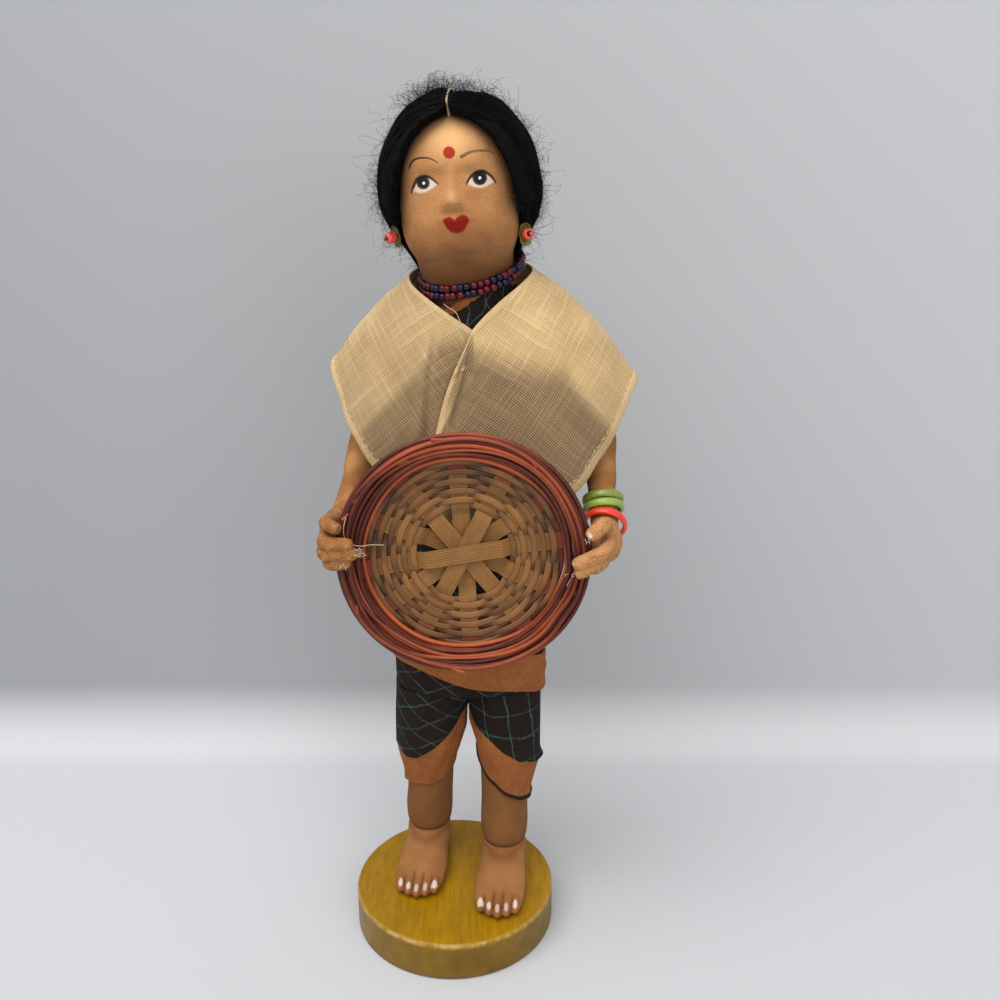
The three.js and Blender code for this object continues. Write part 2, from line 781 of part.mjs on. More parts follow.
function rodProfile(radius, from, to) {
  return [[0, from], [radius, from], [radius, to], [0, to]].map((pair) => new THREE.Vector2(...pair));
}

function earPin(ear, extra) {
  const head = earBeadDiameter / 2 + 0.5;
  return earPiece(ear, rodProfile(earPinDiameter / 2 + extra, -earPinLength - extra, head + extra), 8);
}

function earBead(ear) {
  const profile = [];
  const bore = earPinDiameter / 2 + gap / 2;
  const start = Math.acos(bore / (earBeadDiameter / 2));
  for (let i = 0; i <= 6; i += 1) {
    const angle = -start + (i / 6) * 2 * start;
    profile.push(new THREE.Vector2(Math.cos(angle), Math.sin(angle)).multiplyScalar(earBeadDiameter / 2));
  }
  profile.push(profile[0].clone());
  return earPiece(ear, profile, 12);
}

// A leaf-shaped plate with a hole for the pin
function sequin(ear) {
  const rings = [];
  const hole = earPinDiameter / 2 + gap / 2;
  const top = -earBeadDiameter / 2 - gap;
  for (let i = 0; i < 20; i += 1) {
    const angle = (i / 20) * 2 * Math.PI;
    const out = vector(Math.cos(angle), Math.sin(angle), 0);
    const tip = Math.abs(Math.sin(angle)) ** 3;
    const reach = THREE.MathUtils.lerp(sequinWidth, sequinLength, tip) / 2;
    rings.push([[hole, top], [reach, top], [reach, top - sequinThick], [hole, top - sequinThick]].map(
      ([radius, height]) => out.clone().multiplyScalar(radius).setZ(height),
    ));
  }
  const axis = fromList(ear.axis).normalize();
  const geometry = loopOf(rings);
  geometry.applyQuaternion(new THREE.Quaternion().setFromUnitVectors(vector(0, 0, 1), axis));
  return geometry.translate(...ear.bead);
}

const pinHoles = sides.map(({ ear }) => earPin(ear, gap));
const cover = cut(headSkin, coreSolid(gap), spineWire(gap), ...pinHoles);
piece('head_cover', cover, 0xb98a5e, 0.85);
for (const { name, ear } of sides) {
  piece(`ear_pin_${name}`, earPin(ear, 0), wireColour, 0.4, figure, 1);
  piece(`ear_sequin_${name}`, sequin(ear), 0xa89a28, 0.3);
  piece(`ear_bead_${name}`, earBead(ear), 0xe8513f, 0.3);
}

// Hair in two halves from the parting, open over the face, and a bun at the nape

function hairMass(grow) {
  const radii = [
    headHalfWidth + hairSide + grow,
    headHalfDepth + hairBack + grow,
    headHalfHeight + hairTop + grow,
  ];
  return ellipsoid(vector(0, 1.5, 0), radii, 20, 10).applyMatrix4(headMatrix);
}

function faceOpening() {
  const outline = new THREE.Shape();
  outline.moveTo(0, 17.4);
  outline.quadraticCurveTo(10, 14.5, 13.6, 6);
  outline.quadraticCurveTo(16.9, -1, 17, -8);
  outline.lineTo(22.5, -13);
  outline.lineTo(22.5, -40);
  outline.lineTo(-22.5, -40);
  outline.lineTo(-22.5, -13);
  outline.lineTo(-17, -8);
  outline.quadraticCurveTo(-16.9, -1, -13.6, 6);
  outline.quadraticCurveTo(-10, 14.5, 0, 17.4);
  const depth = headHalfDepth * 2 + 4;
  const opening = new THREE.ExtrudeGeometry(outline, { depth, bevelEnabled: false, curveSegments: 6 });
  opening.rotateX(Math.PI / 2);
  opening.translate(0, -1.5, 0);
  return opening.applyMatrix4(headMatrix);
}

// Below the cheeks the hair draws back behind the sides of the neck
function neckOpening() {
  const block = new THREE.BoxGeometry(80, 46, 30).translate(0, neckHairFront - 23, -neckHairTop - 15);
  return block.applyMatrix4(headMatrix);
}

function nearSide(side) {
  const block = new THREE.BoxGeometry(80, 120, 120);
  block.translate(side * (40 - partingWidth / 2), 0, 0);
  return block.applyMatrix4(headMatrix);
}

// What the hair stays clear of below: the necklace and all that is under it
function belowNecklace() {
  const block = new THREE.BoxGeometry(120, 120, 60).translate(0, 0, -30);
  const places = block.attributes.position;
  for (let i = 0; i < places.count; i += 1) {
    const rise = places.getX(i) * necklaceSlopeX + places.getY(i) * necklaceSlopeY;
    places.setZ(i, places.getZ(i) + rise);
  }
  return block.translate(neckCentre.x, neckCentre.y, necklaceHeight + beadDiameter + 2 * gap);
}

function earRoom(ear) {
  const back = fromList(ear.axis).setLength(-sequinThick - gap);
  const radius = sequinLength / 2 + 2 * gap;
  return ellipsoid(fromList(ear.bead).add(back), [radius, radius, radius], 10, 8);
}

function bunSolid() {
  const centre = vector(1.5, headHalfDepth + hairBack + bunDepth - 2, -4);
  const bun = ellipsoid(centre, [bunRadius, bunDepth, bunRadius * 0.9], 14, 8);
  return bun.applyMatrix4(headMatrix);
}

const hairTools = [headSolid(2 * gap, 18, 12), neckSolid(gap), faceOpening(), neckOpening(), belowNecklace()];
hairTools.push(...sides.map(({ ear }) => earRoom(ear)), ...pinHoles);
for (const { name, side } of sides) {
  piece(`hair_${name}`, cut(hairMass(0), ...hairTools, nearSide(-side)), hairColour, 0.95);
}
piece('hair_bun', cut(bunSolid(), hairMass(gap)), hairColour, 0.95);

// Necklace: two strands of glass beads tied close round the neck

function necklacePoint(angle, lift) {
  const reach = 2 * gap + beadDiameter / 2;
  const x = Math.cos(angle) * (neckHalfWidth + reach);
  const y = Math.sin(angle) * (neckHalfDepth + reach);
  const z = necklaceHeight + x * necklaceSlopeX + y * necklaceSlopeY + lift;
  return vector(neckCentre.x + x, neckCentre.y + y, z);
}

function beadStrand(lift) {
  const rings = [];
  const perBead = 2;
  for (let i = 0; i < beadsPerStrand * perBead; i += 1) {
    const angle = (i / (beadsPerStrand * perBead)) * 2 * Math.PI;
    const radius = i % perBead === 0 ? threadDiameter / 2 : beadDiameter / 2;
    const centre = necklacePoint(angle, lift);
    const out = vector(centre.x - neckCentre.x, centre.y - neckCentre.y, 0).setLength(radius);
    rings.push(ellipseRing(centre, out, vector(0, 0, radius), 5));
  }
  return loopOf(rings);
}

piece('necklace_upper', beadStrand(beadDiameter / 2 + gap / 4), 0x6b1a2c, 0.2);
piece('necklace_lower', beadStrand(-beadDiameter / 2 - gap / 4), 0x1d2450, 0.2);

// Clothing that lies on the body: the chest wrap, the hip wrap and the band over it

function chestWrap() {
  const ringAt = (share, thick) => bodyRing(chestHeight, gap + thick).map((point, s) => {
    const angle = (s / bodySides) * 2 * Math.PI;
    const top = torsoTop - 5 + 4 * Math.cos(angle + 0.6);
    const middle = (chestHeight + wrapTop) / 2;
    const height = [top, shoulderHeight, chestHeight, middle, wrapTop + gap][Math.round(share * 4)];
    return bodyRing(height, gap + thick)[s];
  });
  return clothTube(4, ringAt);
}

function hipWrap() {
  const ringAt = (share, thick) => {
    const height = THREE.MathUtils.lerp(wrapTop, legClothTop + gap, share);
    return bodyRing(Math.max(height, hipHeight + 8), gap + thick).map((point) => point.setZ(height));
  };
  return clothTube(4, ringAt);
}

function hipBand() {
  const ringAt = (share, thick) => {
    const grow = clothThick + 2 * gap + thick;
    return bodyRing(hipHeight + 8, grow).map((point, s) => {
      const angle = (s / bodySides) * 2 * Math.PI;
      const low = hipHeight + bandRise - bandSlope * Math.cos(angle);
      return point.setZ(low + bandHeight * (1 - share) + 0.5 * Math.sin(5 * angle));
    });
  };
  return clothTube(3, ringAt);
}

// Sari cloth round each thigh, gathered to the leg at the cuff, with its main folds

function cuffEdge(side, angle) {
  const inward = 0.5 - 0.5 * side * Math.cos(angle);
  return side < 0 ? 29 + 5 * inward ** 2 : 29 + 16 * inward ** 2.2 + 1.5 * Math.sin(angle);
}

// Draws a point in to the hips' outline where the band hangs over it
function insideHips(point, thick, amount) {
  const { width, depth } = torsoStation(hipHeight + 8);
  const across = (point.x - bodyX) / (width + clothThick + gap);
  const room = (depth + thick) * Math.sqrt(Math.max(1 - across ** 2, 0));
  const held = bodyY + THREE.MathUtils.clamp(point.y - bodyY, -room, room);
  return point.setY(THREE.MathUtils.lerp(point.y, held, amount));
}

function sariLeg(ankle, side) {
  const count = 18;
  const topHalf = (hipHalfWidth + clothThick) / 2;
  const ringAt = (share, thick) => {
    const ring = [];
    for (let s = 0; s < count; s += 1) {
      const angle = (s / count) * 2 * Math.PI;
      const height = THREE.MathUtils.lerp(legClothTop, cuffEdge(side, angle), share);
      const axis = legAxis(ankle, side, height);
      const rise = (legClothTop - height) / (legClothTop - ankleHeight);
      const snug = (THREE.MathUtils.lerp(thighDiameter, ankleDiameter, rise) / 2) + gap;
      const full = 1 - THREE.MathUtils.smoothstep(share, 0.5, 1.1);
      const fold = 0.35 * Math.sin(6 * angle + 4 * share) * full;
      const flare = cuffFlare * full + fold;
      const wide = Math.min(snug + flare, topHalf - clothThick) + thick;
      const deep = snug + flare * 1.2 + thick;
      const x = axis.x + Math.cos(angle) * wide;
      const wall = bodyX + side * (gap / 2 + clothThick - thick);
      const held = side > 0 ? Math.max(x, wall) : Math.min(x, wall);
      const point = vector(held, axis.y + Math.sin(angle) * deep, height);
      ring.push(insideHips(point, thick, 1 - THREE.MathUtils.smoothstep(share, 0.3, 0.6)));
    }
    return ring;
  };
  return clothTube(6, ringAt);
}

const armsNear = sides.map(({ arm }) => armSolid(arm, gap));
piece('chest_wrap', cut(chestWrap(), torsoSolid(gap / 2), ...armsNear), blackCloth, 0.9);
piece('sari_hip_wrap', hipWrap(), blackCloth, 0.9);
piece('sari_border_band', hipBand(), orangeCloth, 0.9);
for (const { name, side, ankle } of sides) {
  piece(`sari_leg_${name}`, sariLeg(ankle, side), blackCloth, 0.9);
}

// Shawl: from the neckline over the shoulders to a hem that stands off the arms
// Each list runs from the front by the doll's left, the back and its right

const shawlNeck = [
  [7, -2.4, 187.8], [14, -0.6, 195.5], [22.8, 5, 203.6], [25, 14, 206], [19.6, 25.5, 207],
  [8, 29.5, 207.5], [-3.5, 26, 206.5], [-10.8, 15, 204.5], [-9.8, 6, 202], [-1.4, -1, 194],
];
const shawlShoulder = [
  [8, -9, 160], [28, -9, 168], [41, -4, 186], [43, 14, 197], [32, 31, 196],
  [9, 34.5, 190], [-14, 31, 195], [-24.5, 14, 194.5], [-22.5, -3, 186], [-9, -9, 170],
];
const shawlHem = [
  [8, -6.5, 128], [37, -5, 141.4], [50, 4.5, 158.6], [57.6, 14, 173.2], [40, 31, 154],
  [9, 35.5, 143], [-20, 31, 158], [-35.2, 14, 178], [-30.4, 2.5, 162.6], [-15, -5.5, 141.6],
];

function shawl() {
  const [neck, shoulder, hem] = [shawlNeck, shawlShoulder, shawlHem].map(
    (list) => new THREE.CatmullRomCurve3(list.map(fromList), true, 'centripetal'),
  );
  const count = 32;
  const at = (turn, share) => {
    const from = neck.getPoint(turn).multiplyScalar((1 - share) ** 2);
    from.addScaledVector(shoulder.getPoint(turn), 2 * share * (1 - share));
    return from.addScaledVector(hem.getPoint(turn), share ** 2);
  };
  const ringAt = (share, thick) => {
    const ring = [];
    for (let s = 0; s < count; s += 1) {
      const turn = s / count;
      const along = at((turn + 0.01) % 1, share).sub(at((turn + 0.99) % 1, share));
      const down = at(turn, Math.min(share + 0.02, 1)).sub(at(turn, Math.max(share - 0.02, 0)));
      const out = down.cross(along).normalize();
      ring.push(at(turn, share).addScaledVector(out, thick - clothThick / 2));
    }
    return ring;
  };
  return clothTube(8, ringAt);
}

piece('shawl', shawl(), shawlColour, 0.9);

export default root;
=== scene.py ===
import math

import bmesh
import bpy
import numpy as np
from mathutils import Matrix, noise
from mathutils.bvhtree import BVHTree
from mathutils.kdtree import KDTree


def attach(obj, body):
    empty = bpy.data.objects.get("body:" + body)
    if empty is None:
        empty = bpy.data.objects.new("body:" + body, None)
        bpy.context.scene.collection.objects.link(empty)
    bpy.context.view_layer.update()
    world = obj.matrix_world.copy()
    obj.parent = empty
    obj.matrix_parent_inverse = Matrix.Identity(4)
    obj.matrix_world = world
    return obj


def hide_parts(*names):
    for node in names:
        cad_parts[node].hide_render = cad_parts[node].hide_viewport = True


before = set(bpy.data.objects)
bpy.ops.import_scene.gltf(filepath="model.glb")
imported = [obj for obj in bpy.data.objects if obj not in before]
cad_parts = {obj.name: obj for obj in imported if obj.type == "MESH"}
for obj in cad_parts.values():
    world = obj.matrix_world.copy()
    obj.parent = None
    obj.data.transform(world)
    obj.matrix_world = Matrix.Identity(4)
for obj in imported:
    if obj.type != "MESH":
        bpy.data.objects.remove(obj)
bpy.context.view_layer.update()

# The camera and the room
# A phone's view from a little above the doll's head, in front of a pale sweep of card
# under large soft lamps. Lengths are in millimetres until a mesh is made.

mm = 0.001
scene = bpy.context.scene
scene.view_settings.view_transform = "Standard"


def place(name, data):
    made = bpy.data.objects.new(name, data)
    scene.collection.objects.link(made)
    return made


lens = bpy.data.cameras.new("camera")
lens.lens = 37.8
lens.clip_start = 0.01
camera = place("camera", lens)
view_place, view_tip = (0.0156, -0.306, 0.252), math.radians(71.8)
camera.location = view_place
camera.rotation_euler = (view_tip, 0, 0)
scene.camera = camera


def linear(colour):
    """A screen colour in steps of 255 as the light values that a shader takes."""
    share = np.array(colour) / 255
    curve = np.where(share <= 0.04045, share / 12.92, ((share + 0.055) / 1.055) ** 2.4)
    return (*curve, 1.0)


def finish(name, colour, roughness, **plain):
    """A new finish, its even values set on the shader's own sockets."""
    made = bpy.data.materials.new(name)
    made.use_nodes = True
    shader = made.node_tree.nodes["Principled BSDF"]
    shader.inputs["Base Color"].default_value = linear(colour)
    shader.inputs["Roughness"].default_value = roughness
    for socket, value in plain.items():
        shader.inputs[socket.replace("_", " ")].default_value = value
    return made


def add(made, kind, **given):
    """One more node: capital names and numbered ones are inputs, the rest its settings."""
    new = made.node_tree.nodes.new("ShaderNode" + kind)
    for name, value in given.items():
        if name[0].islower():
            setattr(new, name, value)
    for name, value in given.items():
        if name[0].islower():
            continue
        key = int(name[1:]) if name[0] == "I" and name[1:].isdigit() else name.replace("_", " ")
        socket = new.inputs[key]
        if isinstance(value, bpy.types.NodeSocket):
            made.node_tree.links.new(value, socket)
        else:
            socket.default_value = value
    return new


def calc(made, operation, *values):
    given = {f"I{i}": value for i, value in enumerate(values)}
    return add(made, "Math", operation=operation, **given).outputs[0]


def times(made, *values):
    return calc(made, "MULTIPLY", *values)


def mixed(made, share, first, second, how="MIX"):
    """Two colours mixed by a share, each a socket or a screen colour."""
    colours = [c if isinstance(c, bpy.types.NodeSocket) else linear(c) for c in (first, second)]
    new = add(made, "Mix", data_type="RGBA", blend_type=how, I0=share, I6=colours[0], I7=colours[1])
    return new.outputs[2]


def range_of(made, value, low, high, start=0.0, end=1.0):
    """A value carried from one range to another, held at its ends."""
    return add(made, "MapRange", I0=value, I1=low, I2=high, I3=start, I4=end).outputs[0]


def on_piece(made, scale=(1, 1, 1), turn=(0, 0, 0), coordinates="Object"):
    """Coordinates on the piece in millimetres, turned and stretched."""
    source = add(made, "TexCoord").outputs[coordinates]
    size = 1000 if coordinates == "Object" else 100
    stretch = tuple(size * s for s in scale)
    return add(made, "Mapping", Vector=source, Rotation=turn, Scale=stretch).outputs[0]


def cloudy(made, vector, scale, detail=2.0, roughness=0.5):
    given = {"Vector": vector, "Scale": scale, "Detail": detail, "Roughness": roughness}
    return add(made, "TexNoise", **given).outputs[0]


def attribute(made, name, output="Fac"):
    return add(made, "Attribute", attribute_name=name).outputs[output]


def wire(made, **sockets):
    """Leads what the nodes make into the shader."""
    shader = made.node_tree.nodes["Principled BSDF"]
    for socket, value in sockets.items():
        made.node_tree.links.new(value, shader.inputs[socket.replace("_", " ")])


def raised(made, height, depth, strength=1.0):
    """A bump of a depth in millimetres, led into the shader."""
    wire(made, Normal=add(made, "Bump", Height=height, Distance=depth * mm, Strength=strength).outputs[0])


def outward(points, faces):
    """The faces of a closed body, turned to look out."""
    volume = 0.0
    for face in faces:
        for i in range(1, len(face[0]) - 1):
            a, b, c = (points[face[:, k]] for k in (0, i, i + 1))
            volume += np.einsum("ij,ij->", a, np.cross(b, c))
    return [face[:, ::-1] for face in faces] if volume < 0 else faces


def build(name, points, faces, made, uv=None, shade=True, closed=True):
    """A mesh piece from points in millimetres and groups of faces, with its uv by corner."""
    points = np.asarray(points, float)
    if closed and uv is None:
        faces = outward(points, faces)
    mesh = bpy.data.meshes.new(name)
    mesh.from_pydata((points * mm).tolist(), [], [row for face in faces for row in face.tolist()])
    mesh.materials.append(made)
    mesh.polygons.foreach_set("use_smooth", [shade] * len(mesh.polygons))
    if uv is not None:
        mesh.uv_layers.new(name="UVMap").uv.foreach_set("vector", (np.concatenate(uv) / 100).ravel())
    mesh.update()
    return place(name, mesh)


def grid(rows, columns, wrap_columns=True, wrap_rows=False):
    """Corners of the squares between rows and columns, and the same without the wrap."""
    r, c = np.mgrid[0:rows if wrap_rows else rows - 1, 0:columns if wrap_columns else columns - 1]
    below, beside = (r + 1) % rows, (c + 1) % columns
    corners = [r * columns + c, r * columns + beside, below * columns + beside, below * columns + c]
    wide = columns + 1
    open_corners = [r * wide + c, r * wide + c + 1, (r + 1) * wide + c + 1, (r + 1) * wide + c]
    return [np.stack(kind, -1).reshape(-1, 4) for kind in (corners, open_corners)]


room_depth = 116
room_profile = [(-900, 0), (room_depth - 24, 0)]
room_profile += [(room_depth - 24 + 24 * math.sin(a), 24 - 24 * math.cos(a)) for a in np.linspace(0.1, 1.5, 9)]
room_profile += [(room_depth, 26), (room_depth, 900)]
card = finish("backdrop_card", (184, 186, 189), 0.9)
place_on_card = add(card, "SeparateXYZ", Vector=on_piece(card)).outputs
# The card is painted with the room's falloff: the upright part darker to the left and darker than the level part, which
# lightens a little towards the back. This is painted shade.
upright = mixed(card, range_of(card, place_on_card[0], -180, 220), (158, 160, 163), (186, 188, 191))
level = mixed(card, range_of(card, place_on_card[1], -60, room_depth - 24), (197, 199, 202), (203, 205, 208))
wire(card, Base_Color=mixed(card, range_of(card, place_on_card[2], 2, 26), level, upright))
from_behind = times(card, calc(card, "SUBTRACT", 1.0, add(card, "NewGeometry").outputs["Backfacing"]),
                    add(card, "LightPath").outputs["Is Camera Ray"])
open_back = add(card, "MixShader", I0=from_behind, I1=card.node_tree.nodes["Principled BSDF"].outputs[0],
                I2=add(card, "BsdfTransparent").outputs[0])
card.node_tree.links.new(open_back.outputs[0], card.node_tree.nodes["Material Output"].inputs["Surface"])
room_rows = np.array([[(x, y, z) for x in (-1500, 1500)] for y, z in room_profile], float)
corners, _ = grid(len(room_rows), 2, wrap_columns=False)
floor = build("floor", room_rows.reshape(-1, 3), [corners[:, ::-1]], card, closed=False)

world = bpy.data.worlds.new("room_light")
world.use_nodes = True
world.node_tree.nodes["Background"].inputs["Color"].default_value = (1.0, 0.98, 0.95, 1)
world.node_tree.nodes["Background"].inputs["Strength"].default_value = 0.55
scene.world = world
for name, spot, size, power in [
    ("lamp_above", (-0.25, -0.35, 0.95), 0.9, 9.0),
    ("lamp_front", (0.45, -0.95, 0.55), 0.7, 3.0),
]:
    lamp = bpy.data.lights.new(name, "AREA")
    lamp.size = size
    lamp.energy = power
    lamp_object = place(name, lamp)
    lamp_object.location = spot
    aim = np.array([0, 0.02, 0.14]) - np.array(spot)
    lamp_object.rotation_euler = (math.acos(-aim[2] / np.linalg.norm(aim)), 0, math.atan2(aim[0], -aim[1]) + math.pi)


# The wooden disc
# A turned disc of softwood, brushed with ochre enamel that has worn pale along its edges
# and darkened where hands and dust have been. The doll's wires end in it.

disc_radius = 33.6
disc_height = 13.5


def smooth_step(value, low, high):
    share = np.clip((value - low) / (high - low), 0, 1)
    return share * share * (3 - 2 * share)


def whole_turn(steps):
    """Angles in even steps all the way round."""
    return np.arange(steps) / steps * 2 * math.pi


def lathe(profile, segments):
    """Points and faces of a closed turned body, its profile given as radius and height."""
    angles = whole_turn(segments)
    rings = np.array([[(r * math.cos(a), r * math.sin(a), z) for a in angles] for r, z in profile[1:-1]])
    points = rings.reshape(-1, 3)
    squares, _ = grid(len(rings), segments)
    ends = np.array([[0, 0, profile[0][1]], [0, 0, profile[-1][1]]])
    ring = np.arange(segments)
    after = (ring + 1) % segments
    last = (len(rings) - 1) * segments
    count = len(points)
    first_fan = np.stack([after, ring, np.full(segments, count)], -1)
    last_fan = np.stack([last + ring, last + after, np.full(segments, count + 1)], -1)
    return np.concatenate([points, ends]), [squares, first_fan, last_fan]


def fit(piece, body, slot, *nodes):
    """Hangs a finished piece on its body and hides the solids that it stands for; the slot is not used."""
    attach(piece, body)
    if nodes:
        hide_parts(*nodes)
    return piece


edge = 1.1
disc_profile = [(0, 0), (12, 0), (disc_radius - 0.6, 0), (disc_radius, 0.6)]
disc_profile += [(disc_radius, z) for z in (3, 6, 9, disc_height - edge - 0.2)]
disc_profile += [
    (disc_radius - edge + edge * math.cos(a), disc_height - edge + edge * math.sin(a))
    for a in np.linspace(0.1, math.pi / 2, 7)
]
disc_profile += [(r, disc_height) for r in (30, 24, 16, 8)] + [(0, disc_height)]

enamel = finish("ochre_enamel", (158, 118, 16), 0.45, Coat_Weight=0.06, Coat_Roughness=0.3, Specular_IOR_Level=0.25)
spot = on_piece(enamel)
height = add(enamel, "SeparateXYZ", Vector=spot).outputs[2]
# The upright side is painted a darker ochre than the top: painted shade.
side = range_of(enamel, height, disc_height - 0.4, disc_height - 2.2)
brushed = cloudy(enamel, on_piece(enamel, scale=(0.9, 0.12, 0.4)), 1.0, 4, 0.6)
patchy = cloudy(enamel, spot, 0.09, 4, 0.6)
top = mixed(enamel, range_of(enamel, brushed, 0.35, 0.65), (148, 108, 2), (168, 126, 8))
top = mixed(enamel, range_of(enamel, patchy, 0.4, 0.75, 0, 0.45), top, (124, 88, 6))
wall = mixed(enamel, range_of(enamel, patchy, 0.35, 0.7), (134, 102, 22), (108, 80, 12))
coat = mixed(enamel, side, top, wall)
worn = times(enamel, range_of(enamel, height, disc_height - 1.8, disc_height - 0.9),
             range_of(enamel, height, disc_height - 0.02, disc_height - 0.5))
worn = times(enamel, worn, range_of(enamel, cloudy(enamel, spot, 0.35, 5, 0.7), 0.4, 0.6))
coat = mixed(enamel, worn, coat, (186, 156, 92))
specks = range_of(enamel, cloudy(enamel, spot, 1.6, 3, 0.7), 0.68, 0.74, 0, 0.5)
coat = mixed(enamel, specks, coat, (92, 66, 14))
wire(enamel, Base_Color=coat, Roughness=range_of(enamel, patchy, 0.3, 0.7, 0.32, 0.52))
raised(enamel, calc(enamel, "ADD", brushed, times(enamel, patchy, 2.0)), 0.12, 0.6)
disc_points, disc_faces = lathe(disc_profile, 160)
fit(build("disc", disc_points, disc_faces, enamel), "figure", "disc_paint", "base_disc")


# The armature
# Bare annealed wire: one up each leg from the disc, one up the spine and one from wrist to
# wrist. It is hidden in the stuffing, and so is the wound ball that fills the head.

bare_wire = finish("annealed_wire", (128, 130, 134), 0.4, Metallic=1.0)
drawn = cloudy(bare_wire, on_piece(bare_wire, scale=(4, 4, 0.3)), 1.0, 3)
wire(bare_wire, Roughness=range_of(bare_wire, drawn, 0.3, 0.7, 0.32, 0.5))
wadding = finish("cotton_wadding", (217, 207, 184), 0.95)
tufts = cloudy(wadding, on_piece(wadding), 0.8, 4, 0.7)
wire(wadding, Base_Color=mixed(wadding, tufts, (200, 188, 162), (226, 218, 198)))
raised(wadding, tufts, 0.5)
wires = ("leg_wire_right", "leg_wire_left", "spine_wire", "arm_wire", "ear_pin_right", "ear_pin_left")
for name, stuff in [(wire_name, bare_wire) for wire_name in wires] + [("head_core", wadding)]:
    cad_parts[name].data.materials.clear()
    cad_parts[name].data.materials.append(stuff)


# The legs and feet
# Stockinette stretched over wadding, each foot seamed on below the ankle. The toes are
# stitched apart, their seams and nails touched in with paint.

foot_length, foot_width, foot_heel = 41.5, 17.0, 9.0
toe_height, ankle_height, ankle_diameter, thigh_diameter = 4.6, 10.0, 15.6, 18.0
hip_height = 71.0
body_x, body_y, hip_half_width = 5.0, 12.5, 23.8
legs = {
    "right": {"side": -1, "ankle": (-9.9, 19.5), "turn": 5.0},
    "left": {"side": 1, "ankle": (17.1, 9.5), "turn": 4.5},
}


def skin_cloth(name, colour, deep, pitch=0.52, grainy=0.3):
    """Tan stockinette: a fine slanting knit, soft stains, and paint from the piece's own points."""
    made = finish(name, colour, 0.88, Sheen_Weight=0.03, Sheen_Roughness=0.5, Specular_IOR_Level=0.06)
    spot = on_piece(made)
    wales = [
        add(made, "TexWave", Vector=on_piece(made, scale=stretch), Scale=0.31 / pitch,
            Distortion=2.2, Detail=2.0, Detail_Scale=2.0, bands_direction="DIAGONAL").outputs[1]
        for stretch in ((1, 1, 1), (-1, 1, 1))
    ]
    knit = times(made, wales[0], wales[1])
    fuzz = cloudy(made, spot, 2.4, 3, 0.75)
    stain = cloudy(made, spot, 0.11, 3, 0.55)
    base = mixed(made, range_of(made, stain, 0.32, 0.72), colour, deep)
    base = mixed(made, range_of(made, knit, 0.0, 0.75, 0.26, 0.0), base, deep)
    base = mixed(made, range_of(made, fuzz, 0.32, 0.66, grainy, 0.0), base, deep)
    paint = add(made, "Attribute", attribute_name="paint")
    base = mixed(made, paint.outputs[3], base, paint.outputs[0])
    wire(made, Base_Color=base,
         Roughness=range_of(made, paint.outputs[3], 0.2, 1.0, 0.86, 0.5))
    raised(made, calc(made, "ADD", times(made, knit, 0.7), fuzz), 0.11, 0.75)
    return made


skin = skin_cloth("skin_stockinette", (172, 122, 76), (144, 96, 54))
# The legs' stockinette is a darker copy of the arms': painted shade.
shaded_leg_skin = skin_cloth("shaded_leg_stockinette", (140, 96, 57), (116, 77, 44))


def ball(centre, radii, sides=20, rings=14, turn=None):
    """Points and faces of a rounded lump."""
    rows = np.linspace(-math.pi / 2, math.pi / 2, rings + 1)
    profile = [(max(math.cos(a), 0.0), math.sin(a)) for a in rows]
    points, faces = lathe(profile, sides)
    points = points * np.asarray(radii, float)
    if turn is not None:
        points = points @ np.asarray(turn).T
    return points + np.asarray(centre, float), faces


def frames_along(path):
    """A sideways and an upward direction at each point of a path, without twist."""
    ahead = np.gradient(path, axis=0)
    ahead /= np.linalg.norm(ahead, axis=1)[:, None]
    sideways = np.zeros_like(path)
    start = np.cross(ahead[0], [0.0, 0.0, 1.0])
    if np.linalg.norm(start) < 0.1:
        start = np.cross(ahead[0], [0.0, 1.0, 0.0])
    for i, way in enumerate(ahead):
        start = start - way * (start @ way)
        start = start / np.linalg.norm(start)
        sideways[i] = start
    return sideways, np.cross(ahead, sideways)


def tube(path, radii, sides=16):
    """Points and faces of a closed round tube along a path."""
    path = np.asarray(path, float)
    radii = np.broadcast_to(np.asarray(radii, float), (len(path),))
    sideways, upward = frames_along(path)
    angles = whole_turn(sides)
    rings = path[:, None] + radii[:, None, None] * (
        np.cos(angles)[None, :, None] * sideways[:, None] + np.sin(angles)[None, :, None] * upward[:, None]
    )
    return capped(rings)


def capped(rings):
    """Points and faces of a stack of rings, with a fan over each end."""
    rows, sides = rings.shape[:2]
    squares, _ = grid(rows, sides)
    ring = np.arange(sides)
    after = (ring + 1) % sides
    last = (rows - 1) * sides
    count = rows * sides
    points = np.concatenate([rings.reshape(-1, 3), [rings[0].mean(0), rings[-1].mean(0)]])
    fans = [
        np.stack([after, ring, np.full(sides, count)], -1),
        np.stack([last + ring, last + after, np.full(sides, count + 1)], -1),
    ]
    return points, [squares, *fans]


def smooth_path(points, count, closed=False):
    """Points evenly numbered along a smooth curve through the given ones."""
    points = np.asarray(points, float)
    n = len(points)
    spans = n if closed else n - 1
    at = np.linspace(0, spans, count, endpoint=not closed)
    index = np.minimum(at.astype(int), spans - 1)
    t = (at - index)[:, None]

    def pick(offset):
        wanted = index + offset
        return points[wanted % n] if closed else points[np.clip(wanted, 0, n - 1)]

    p0, p1, p2, p3 = pick(-1), pick(0), pick(1), pick(2)
    return 0.5 * (2 * p1 + (p2 - p0) * t + (2 * p0 - 5 * p1 + 4 * p2 - p3) * t**2
                  + (3 * p1 - p0 - 3 * p2 + p3) * t**3)


